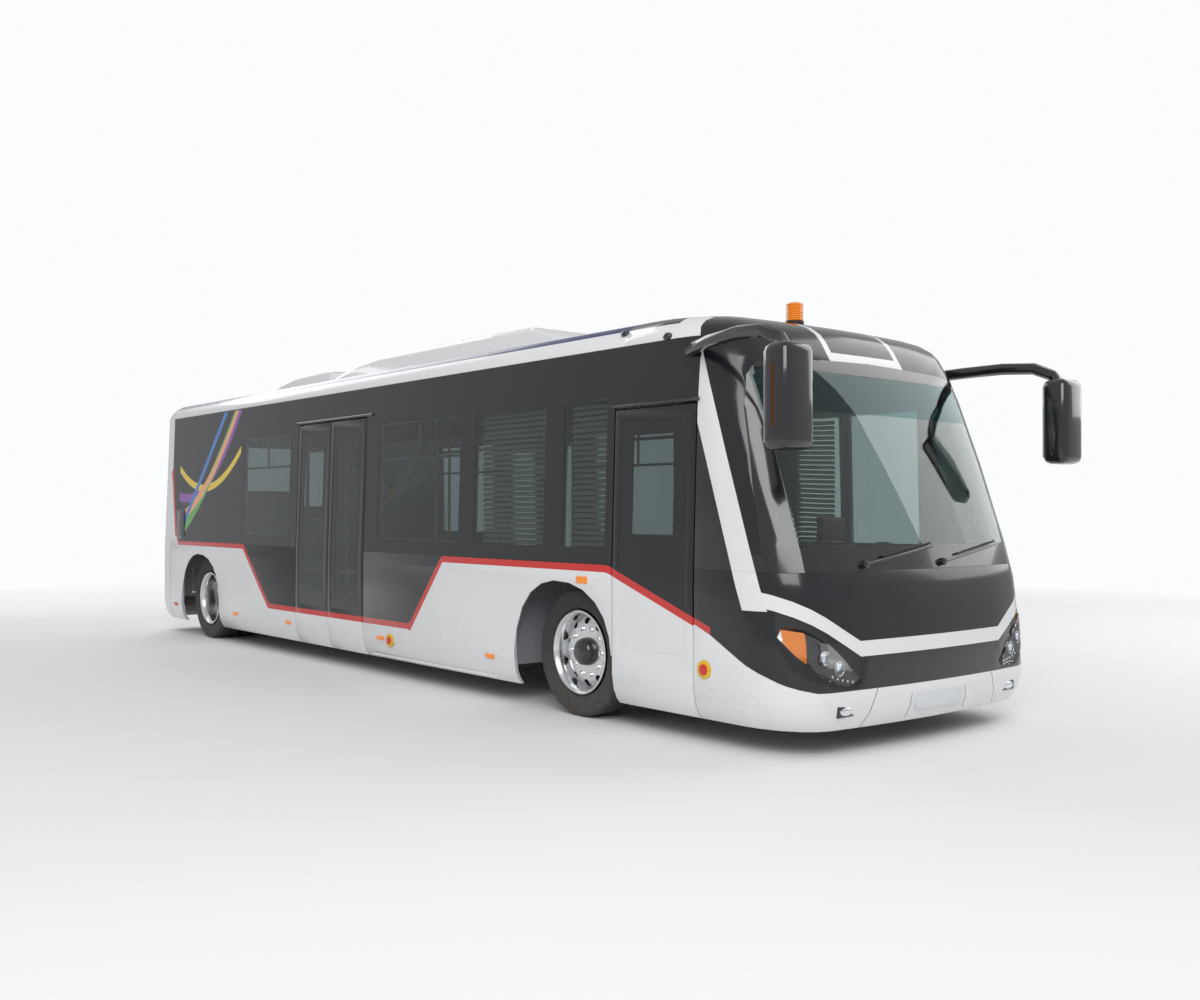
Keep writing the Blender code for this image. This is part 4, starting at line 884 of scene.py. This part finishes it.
@dataclass
class Lamps:
    """Headlights, fog lamps, tail lamps, markers, repeaters and the beacon."""

    amber_ends: tuple[float, float] = (1.105, 1.190)        # half widths between which a headlight is amber
    projectors: tuple[Point, ...] = ((0.905, 0.520, 0.040), (1.010, 0.585, 0.038))    # (half width, height, radius)
    day_lights: tuple[tuple[float, float], ...] = (
        (0.800, 0.440), (0.840, 0.446), (0.880, 0.454), (0.920, 0.464), (0.960, 0.478))

    def build(self) -> None:
        """Make every lamp."""
        for side, word in SIDES:
            self.headlight(side, word)
            self.fog_lamp(side, word)
            self.tail_lamps(side, word)
            for k, station in enumerate((1.00, 2.71, 4.58, 5.90, 7.68)):
                finish = RED_LENS if k == 4 else AMBER
                y = at(station)
                x = side * (HALF_WIDTH + 0.001)
                lamp = block(f"side_marker_{word}_{k + 1}", (x - 0.006, y - 0.060, 0.322), (x + 0.006, y + 0.060, 0.357),
                             finish, 0.005)
                riding(lamp)
            y = at(-0.13)
            x = side * (HALF_WIDTH - 0.006)
            riding(block("side_repeater_" + word, (x - 0.012, y - 0.065, 0.945), (x + 0.012, y + 0.065, 1.000), AMBER, 0.010))
        self.beacon()

    def headlight(self, side: int, word: str) -> None:
        """Clear cover over a dark housing with an amber outer end, two projectors and a row of day lights."""
        node = "headlight_" + word
        cover = refined(node, CLEAR, 0.0)
        housing = bpy.data.objects.new(node + "_housing", cover.data.copy())
        bpy.context.scene.collection.objects.link(housing)
        housing.data.materials.clear()
        middle = middle_of(node)
        alone(housing)
        bpy.ops.object.mode_set(mode="EDIT")
        bpy.ops.mesh.select_all(action="SELECT")
        bpy.ops.transform.resize(value=(0.955, 0.975, 0.90), center_override=tuple(middle))
        bpy.ops.transform.translate(value=(-side * 0.006, 0.012, 0.0))
        bpy.ops.object.mode_set(mode="OBJECT")
        for finish in (BLACK_GLOSS, AMBER, LAMP):
            housing.data.materials.append(finish.material())
        cut_faces(housing, [((side * x, 0, 0), (1, 0, 0)) for x in self.amber_ends])
        inner, outer = self.amber_ends
        for face in housing.data.polygons:
            x = abs(face.center.x)
            face.material_index = 0 if x < inner else (1 if x < outer else 2)
        settled(housing, node + "_housing", BLACK_GLOSS)
        riding(cover)
        riding(housing)
        for k, (x, z, size) in enumerate(self.projectors):
            spot = surface(housing, (side * x, z))
            if spot is None:
                continue
            place = tuple(spot + Vector((0.0, -0.001, 0.0)))
            riding(bezel(f"{node}_bezel_{k + 1}", place, size, 0.005, CHROME))
            riding(dome(f"{node}_projector_{k + 1}", place, (size * 0.80, size * 0.20, size * 0.80), LAMP))
        for k, (x, z) in enumerate(self.day_lights):
            spot = surface(housing, (side * x, z))
            if spot is not None:
                riding(dome(f"{node}_day_light_{k + 1}", tuple(spot), (0.010, 0.004, 0.010), LAMP, 16))

    def fog_lamp(self, side: int, word: str) -> None:
        """A small lamp in a dark recess of the bumper."""
        spot = surface(bpy.data.objects["look_front_bumper"], (side * 0.86, 0.270))
        if spot is None:
            return
        recess = block("fog_lamp_recess_" + word, tuple(spot + Vector((-0.075, -0.003, -0.035))),
                       tuple(spot + Vector((0.075, 0.020, 0.035))), BLACK_GLOSS, 0.014)
        riding(recess)
        riding(dome("fog_lamp_" + word, tuple(spot + Vector((0.0, -0.003, 0.0))), (0.055, 0.008, 0.024), LAMP))

    def tail_lamps(self, side: int, word: str) -> None:
        """A column of round lamps on the rear corner."""
        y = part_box("rear_shell")[1][1] - 0.004
        for k, (z, finish) in enumerate(((0.60, PLATE), (0.72, AMBER), (0.84, RED_LENS), (0.96, RED_LENS))):
            x = side * (HALF_WIDTH - 0.250)
            ring = disc(f"tail_lamp_bezel_{word}_{k + 1}", (x, y - 0.001, z), 0.055, 0.016, "Y", BLACK_GLOSS)
            lens = disc(f"tail_lamp_{word}_{k + 1}", (x, y + 0.004, z), 0.046, 0.018, "Y", finish, 40, 0.006)
            riding(ring)
            riding(lens)

    def beacon(self) -> None:
        """Ribbed amber dome on a black foot."""
        low, high = (Vector(v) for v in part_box("beacon"))
        centre = (low + high) / 2
        radius = (high.x - low.x) / 2 * 0.98
        base = low.z + 0.05
        rows = 9
        outline = [(base, radius * 0.9)]
        for k in range(rows):
            z = base + (high.z - 0.012 - base) * k / rows
            outline += [(z, radius * 0.88), (z + 0.006, radius * 0.94)]
        outline += [(high.z - 0.010, radius * 0.80), (high.z - 0.001, radius * 0.45), (high.z - 0.001, 0.001), (base, 0.001)]
        dome = lathe("look_beacon", tuple(outline), (centre.x, centre.y, 0.0), AMBER, 48, "Z")
        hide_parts("beacon")
        riding(dome)
        foot = ((low.z, radius), (base - 0.004, radius), (base, radius * 0.94), (base, 0.001), (low.z, 0.001))
        riding(lathe("beacon_foot", foot, (centre.x, centre.y, 0.0), BLACK_RUBBER, 48, "Z"))


def surface(item: bpy.types.Object, place: tuple[float, float]) -> Vector | None:
    """Point of a piece's front face at (x, z), or None where there is none."""
    bpy.context.view_layer.update()
    hit, spot, _, _ = item.ray_cast(Vector((place[0], -20.0, place[1])), Vector((0.0, 1.0, 0.0)))
    return spot if hit else None


def surface_height(name: str, x: float, y: float) -> float:
    """Height of a piece's top at (x, y)."""
    bpy.context.view_layer.update()
    _, spot, _, _ = bpy.data.objects[name].ray_cast(Vector((x, y, 10.0)), Vector((0.0, 0.0, -1.0)))
    return spot.z


@dataclass
class Trim:
    """Mirror glasses, wipers, plates, blinds, louvres, grilles and rub strips."""

    slat: float = 0.034
    pitch: float = 0.040

    def build(self) -> None:
        """Make all small pieces on the body."""
        for side, word in SIDES:
            self.mirror(side, word)
            self.blinds(side, word)
            self.grille(side, word)
            for k, (station, z) in enumerate(((-1.35, 0.475), (2.54, 0.330))):
                self.button(side, f"{word}_{k + 1}", at(station), z)
            for k, (front, rear) in enumerate(SLIDERS):
                self.slider(side, f"{word}_{k + 1}", front, rear)
            self.door_rails(side, word)
            for k, (station, z, inset) in enumerate(((-0.50, 2.650, 0.085), (-0.96, 2.580, 0.050))):
                riding(dome(f"camera_dome_{word}_{k + 1}", (side * (HALF_WIDTH - inset), at(station), z),
                            (0.030, 0.038, 0.026), BLACK_GLOSS))
            riding(block("skirt_strip_" + word, (side * (HALF_WIDTH - 0.034) - 0.008, at(0.95), 0.175),
                         (side * (HALF_WIDTH - 0.034) + 0.008, at(2.9), 0.195), WHITE_PAINT, 0.005))
        self.wipers()
        self.plates()
        self.louvres()

    def mirror(self, side: int, word: str) -> None:
        """Mirror glass on the rear face of the head, and its amber repeater strip."""
        low, high = (Vector(v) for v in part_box("mirror_" + word))
        x = side * 1.446
        y = low.y + 0.190
        z = 2.090
        riding(block("mirror_glass_" + word, (x - 0.098, y - 0.006, z - 0.255), (x + 0.098, y + 0.002, z + 0.255), MIRROR_GLASS, 0.003))
        outer = side * (max(abs(low.x), abs(high.x)) - 0.004)
        riding(block("mirror_strip_" + word, (outer - 0.004, y - 0.105, z - 0.18), (outer + 0.003, y - 0.085, z + 0.18), AMBER, 0.003))

    def button(self, side: int, word: str, y: float, z: float) -> None:
        """Door release: yellow ring round a red knob."""
        x = side * HALF_WIDTH
        riding(disc("door_release_ring_" + word, (x, y, z), 0.058, 0.018, "X", YELLOW, 40))
        # The knob takes the red lens finish, whose faint glow is painted light on a part that is no lamp.
        riding(disc("door_release_knob_" + word, (x + side * 0.008, y, z), 0.034, 0.022, "X", RED_LENS, 32, 0.008))

    def blinds(self, side: int, word: str) -> None:
        """Slatted blinds just inside the cabin windows."""
        for k, (front, rear) in enumerate(BLINDS):
            x = side * 1.185
            bpy.ops.mesh.primitive_cube_add(size=1.0, location=(x, at((front + rear) / 2), SILL + 0.02),
                                            rotation=(0.0, side * math.radians(58), 0.0), scale=(self.slat, rear - front - 0.06, 0.0016))
            item = bpy.context.object
            bpy.ops.object.transform_apply(location=False, rotation=True, scale=True)
            count = int((HEAD - SILL) / self.pitch)
            applied(item, "ARRAY", count=count, use_relative_offset=False, use_constant_offset=True,
                    constant_offset_displace=(0.0, 0.0, self.pitch))
            riding(settled(item, f"blind_{word}_{k + 1}", BLIND))

    def slider(self, side: int, word: str, front: float, rear: float) -> None:
        """Frame of a window: its border, a sill for the sliding panes and the bar between them."""
        x = side * (HALF_WIDTH - 0.054)
        y_front, y_rear, split = at(front), at(rear), SILL + 0.70
        bars = ((y_front, y_rear, split - 0.012, split + 0.012), (y_front, y_rear, SILL, SILL + 0.016),
                (y_front, y_rear, HEAD - 0.016, HEAD), (y_front, y_front + 0.016, SILL, HEAD),
                (y_rear - 0.016, y_rear, SILL, HEAD),
                ((y_front + y_rear) / 2 - 0.014, (y_front + y_rear) / 2 + 0.014, split, HEAD))
        pieces = [block(f"bar_{k}", (x - 0.007, a, c), (x + 0.007, b, d), GREY_TRIM, 0.003)
                  for k, (a, b, c, d) in enumerate(bars)]
        riding(joined("window_frame_" + word, pieces))

    def door_rails(self, side: int, word: str) -> None:
        """Drip rails with round ends over the doorways."""
        rows = [(2.93, 4.47, 2.316, 0.036)] + ([(-1.25, -0.44, 2.156, 0.031)] if side < 0 else [])
        for k, (front, rear, z, inset) in enumerate(rows):
            x = side * (HALF_WIDTH - inset)
            bar = rod(f"rail_{k}", [(x, at(front), z), (x, at(rear), z)], 0.010, BLACK_GLOSS)
            ends = [dome(f"end_{k}_{i}", (x, at(s), z), (0.016, 0.020, 0.016), BLACK_GLOSS, 16)
                    for i, s in enumerate((front, rear))]
            riding(joined(f"drip_rail_{word}_{k + 1}", [bar, *ends]))

    def grille(self, side: int, word: str) -> None:
        """Air grille behind the rear window: a frame with upright fins."""
        x = side * (HALF_WIDTH - 0.006)
        front, rear, low, high = at(7.42), at(7.66), 1.14, 1.46
        pieces = [block("grille_frame_" + word, (x - 0.006, front, low), (x + 0.004, rear, high), BLACK_GLOSS, 0.004)]
        for k in range(12):
            y = front + (rear - front) * (k + 0.5) / 12
            pieces.append(block(f"fin_{k}", (x - 0.004, y - 0.004, low + 0.02), (x + 0.010, y + 0.004, high - 0.02), PLASTIC, 0.002, 1))
        riding(joined("grille_" + word, pieces))

    def wipers(self) -> None:
        """Two wipers resting low on the windshield."""
        glass = bpy.data.objects["look_windshield"]
        for k, (pivot, tip) in enumerate(((-0.62, 0.05), (0.15, 0.85))):
            line = []
            for share in (0.0, 0.25, 0.5, 0.75, 1.0):
                x = pivot + (tip - pivot) * share
                z = 1.13 + 0.10 * share
                spot = surface(glass, (x, z))
                if spot is not None:
                    line.append((x, spot.y - 0.022, z))
            if len(line) < 3:
                continue
            arm = rod(f"wiper_arm_{k + 1}", line, 0.009, BLACK_GLOSS)
            blade = rod(f"wiper_blade_{k + 1}", [(x, y + 0.012, z + 0.02) for x, y, z in line[1:]], 0.007, BLACK_RUBBER)
            foot = disc(f"wiper_pivot_{k + 1}", (line[0][0], line[0][1] + 0.010, line[0][2]), 0.024, 0.040, "Y", BLACK_GLOSS)
            riding(joined(f"wiper_{k + 1}", [arm, blade, foot]))

    def plates(self) -> None:
        """Blank plate on the front bumper and on the hatch."""
        bumper = bpy.data.objects["look_front_bumper"]
        spot = surface(bumper, (0.0, 0.28))
        y = spot.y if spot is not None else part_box("front_bumper")[0][1]
        riding(block("front_plate", (-0.24, y - 0.006, 0.225), (0.24, y + 0.010, 0.335), PLATE, 0.005))
        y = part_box("rear_hatch")[1][1]
        for k in range(9):
            z = 0.92 + k * 0.030
            riding(block(f"hatch_slot_{k + 1}", (-0.46, y - 0.010, z - 0.007), (0.46, y + 0.002, z + 0.007), BLACK_RUBBER, 0.003),
                   "rear_hatch")
        riding(block("hatch_handle", (-0.09, y - 0.008, 0.475), (0.09, y + 0.007, 0.510), BLACK_GLOSS, 0.006), "rear_hatch")
        riding(block("rear_plate", (-0.24, y - 0.010, 0.60), (0.24, y + 0.006, 0.71), PLATE, 0.005), "rear_hatch")

    def louvres(self) -> None:
        """Slotted outlets on the roof unit and its fan rings."""
        low, high = (Vector(v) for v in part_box("roof_unit"))
        for k in range(3):
            y = low.y + (high.y - low.y) * (k + 0.9) / 3.8
            ring = ((high.z - 0.020, 0.230), (high.z - 0.002, 0.225), (high.z - 0.002, 0.200), (high.z - 0.020, 0.195))
            riding(lathe(f"fan_ring_{k + 1}", ring, (0.0, y, 0.0), WHITE_PAINT, 48, "Z"))
        for k in range(7):
            y = high.y - 0.46 + k * 0.05
            z = surface_height("look_roof_unit", 0.0, y)
            riding(block(f"roof_slot_{k + 1}", (-0.50, y - 0.012, z - 0.010), (0.50, y + 0.012, z + 0.006), BLACK_RUBBER, 0.004))


@dataclass
class Cabin:
    """Padded seats on moulded bases, hand rails and the driver's place."""

    cushion: float = 0.095

    def build(self) -> None:
        """Make the benches, sofa and driver's seat."""
        for side, word in SIDES:
            self.bench(side, word)
        self.sofa()
        self.driver()
        self.rails()

    def pad(self, name: str, low: Point, high: Point, tilt: float = 0.0) -> bpy.types.Object:
        """A crowned cushion whose sides pull in between its corners.

        Args:
            name: its name.
            low: its lowest corner.
            high: its highest corner.
            tilt: turn about X in degrees.

        Returns:
            The piece.
        """
        size = Vector(high) - Vector(low)
        bpy.ops.mesh.primitive_cube_add(size=1.0, location=(Vector(low) + Vector(high)) / 2,
                                        rotation=(math.radians(tilt), 0.0, 0.0), scale=size)
        item = bpy.context.object
        bpy.ops.object.transform_apply(location=False, rotation=False, scale=True)
        alone(item)
        bpy.ops.object.mode_set(mode="EDIT")
        bpy.ops.mesh.select_all(action="SELECT")
        bpy.ops.mesh.subdivide(number_cuts=7)
        bpy.ops.object.mode_set(mode="OBJECT")
        thin = min(range(3), key=lambda axis: size[axis])
        wide = [axis for axis in range(3) if axis != thin]
        for vertex in item.data.vertices:
            share = [2 * vertex.co[axis] / size[axis] for axis in range(3)]
            crown = (1 - share[wide[0]] ** 2) * (1 - share[wide[1]] ** 2)
            vertex.co[thin] *= 0.72 + 0.28 * math.sqrt(max(0.0, crown))
            for axis, other in (wide, reversed(wide)):
                vertex.co[axis] *= 1 - 0.03 * (1 - share[other] ** 2)
        applied(item, "BEVEL", width=0.012, segments=3, limit_method="ANGLE", angle_limit=math.radians(50))
        applied(item, "SUBSURF", levels=1, render_levels=1)
        settled(item, name, LEATHER, 80.0)
        return item

    def bench(self, side: int, word: str) -> None:
        """A bench along the side wall: moulded base and four places."""
        node = "bench_" + word
        low, high = (Vector(v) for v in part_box(node))
        places = 4
        seat_top = low.z + 0.46
        inner, outer = (low.x, high.x) if side > 0 else (high.x, low.x)
        base_low = (min(inner + side * 0.03, outer), low.y + 0.01, low.z + 0.001)
        base_high = (max(inner + side * 0.03, outer), high.y - 0.01, seat_top - self.cushion)
        base = block("look_" + node, base_low, base_high, PLASTIC, 0.02)
        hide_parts(node)
        riding(base)
        length = (high.y - low.y) / places
        for k in range(places):
            front, rear = low.y + k * length + 0.008, low.y + (k + 1) * length - 0.008
            back = outer - side * 0.135
            xs = sorted((inner, back))
            riding(self.pad(f"bench_cushion_{word}_{k + 1}", (xs[0], front, seat_top - self.cushion), (xs[1], rear, seat_top)))
            xs = sorted((back + side * 0.006, outer - side * 0.012))
            riding(self.pad(f"bench_back_{word}_{k + 1}", (xs[0], front, seat_top - 0.02), (xs[1], rear, high.z - 0.01)))

    def sofa(self) -> None:
        """The rear sofa across the bus: base and two places between the wheel boxes."""
        low, high = (Vector(v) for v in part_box("rear_sofa"))
        seat_top = low.z + 0.40
        width = 0.86
        base = block("look_rear_sofa", (-width / 2, low.y + 0.02, low.z + 0.001), (width / 2, high.y - 0.10, seat_top - self.cushion), PLASTIC, 0.02)
        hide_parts("rear_sofa")
        riding(base)
        for k in range(2):
            left = -width / 2 + k * width / 2 + 0.006
            right = left + width / 2 - 0.012
            riding(self.pad(f"sofa_cushion_{k + 1}", (left, low.y, seat_top - self.cushion), (right, high.y - 0.15, seat_top)))
            riding(self.pad(f"sofa_back_{k + 1}", (left, high.y - 0.14, seat_top - 0.01), (right, high.y - 0.03, high.z - 0.01)))

    def driver(self) -> None:
        """Driver's seat: pedestal, cushion, back and head rest."""
        low, high = (Vector(v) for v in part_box("driver_seat"))
        x = (low.x + high.x) / 2
        base = block("look_driver_seat", (x - 0.16, low.y + 0.08, low.z + 0.001), (x + 0.16, low.y + 0.46, low.z + 0.34), PLASTIC, 0.03)
        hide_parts("driver_seat")
        riding(base)
        riding(self.pad("driver_cushion", (low.x + 0.005, low.y + 0.01, low.z + 0.345), (high.x - 0.005, low.y + 0.50, low.z + 0.455)))
        riding(self.pad("driver_back", (low.x + 0.005, high.y - 0.15, low.z + 0.44), (high.x - 0.005, high.y - 0.03, high.z - 0.22)))
        riding(self.pad("driver_head_rest", (x - 0.13, high.y - 0.13, high.z - 0.20), (x + 0.13, high.y - 0.04, high.z - 0.01)))

    def rails(self) -> None:
        """Upright hand poles and a ceiling rail on each side of the aisle."""
        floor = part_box("bench_left")[0][2]
        for side, word in SIDES:
            x = side * 0.62
            for k, station in enumerate((0.95, 2.85, 4.60)):
                y = at(station)
                riding(rod(f"hand_pole_{word}_{k + 1}", [(x, y, floor + 0.002), (x, y, 2.66)], 0.016, YELLOW))
            riding(rod("ceiling_rail_" + word, [(x, at(-0.4), 2.10), (x, at(5.6), 2.10)], 0.016, YELLOW))


# ---------------------------------------------------------------- set and camera
@dataclass
class Studio:
    """Pale floor, soft lamps and the camera."""

    lens: float = 35.81
    yaw: float = -39.948
    pitch: float = 0.638
    roll: float = -0.083
    eye: tuple[float, float, float] = (-6.437, -6.640, 1.448)     # (x, station, height)
    shift: tuple[float, float] = (-0.0114, -0.0014)
    daylight: float = 0.55

    def build(self) -> None:
        """Make the set."""
        bpy.ops.mesh.primitive_plane_add(size=120.0, location=(0.0, 0.0, -0.0005))
        floor = bpy.context.object
        floor.name = "studio_floor"
        made = bpy.data.materials.new("studio_floor")
        made.use_nodes = True
        shader = made.node_tree.nodes["Principled BSDF"]
        shader.inputs["Base Color"].default_value = (0.88, 0.88, 0.88, 1.0)
        shader.inputs["Roughness"].default_value = 0.9
        graph = Graph(made.node_tree)
        vector = graph.node("TexCoord").outputs["Object"]
        away = graph.node("VectorMath", vector, operation="LENGTH").outputs["Value"]
        graph.feed(shader.inputs["Alpha"], graph.node("MapRange", away, 7.5, 15.0, 1.0, 0.0).outputs[0])
        floor.data.materials.append(made)
        world = bpy.data.worlds.new("studio")
        bpy.context.scene.world = world
        world.use_nodes = True
        graph = Graph(world.node_tree)
        path = graph.node("LightPath")
        seen = graph.maths("MAXIMUM", path.outputs["Is Camera Ray"], path.outputs["Is Transmission Ray"])
        strength = graph.maths("MULTIPLY_ADD", seen, 1.0 - self.daylight, self.daylight)
        graph.feed(world.node_tree.nodes["Background"].inputs[0], (0.97, 0.98, 1.0, 1.0))
        graph.feed(world.node_tree.nodes["Background"].inputs[1], strength)
        for name, place, size, power in (("key", (-9.0, -12.0, 9.0), 8.0, 900.0), ("fill", (10.0, -6.0, 7.0), 9.0, 450.0),
                                         ("rim", (0.0, 12.0, 10.0), 9.0, 500.0)):
            lamp = bpy.data.lights.new(name, "AREA")
            lamp.size = size
            lamp.energy = power
            item = bpy.data.objects.new(name, lamp)
            item.location = place
            item.rotation_euler = (Vector((0.0, 0.0, 1.0)) - Vector(place)).to_track_quat("-Z", "Y").to_euler()
            bpy.context.scene.collection.objects.link(item)
        camera = bpy.data.cameras.new("camera")
        camera.lens = self.lens
        camera.sensor_width = 36.0
        camera.shift_x, camera.shift_y = self.shift
        item = bpy.data.objects.new("camera", camera)
        item.location = (self.eye[0], at(self.eye[1]), self.eye[2])
        item.rotation_euler = (math.radians(90.0 + self.pitch), math.radians(self.roll), math.radians(self.yaw))
        bpy.context.scene.collection.objects.link(item)
        bpy.context.scene.camera = item
        bpy.context.scene.view_settings.view_transform = "Standard"


def main() -> None:
    """Build the bus and its set."""
    logging.basicConfig(level=logging.INFO, format="%(name)s: %(message)s")
    Studio().build()
    for assembly in (Panels(), Doors(), Glazing(), Wheels(), Lamps(), Trim(), Cabin()):
        assembly.build()


if __name__ == "__main__":
    main()
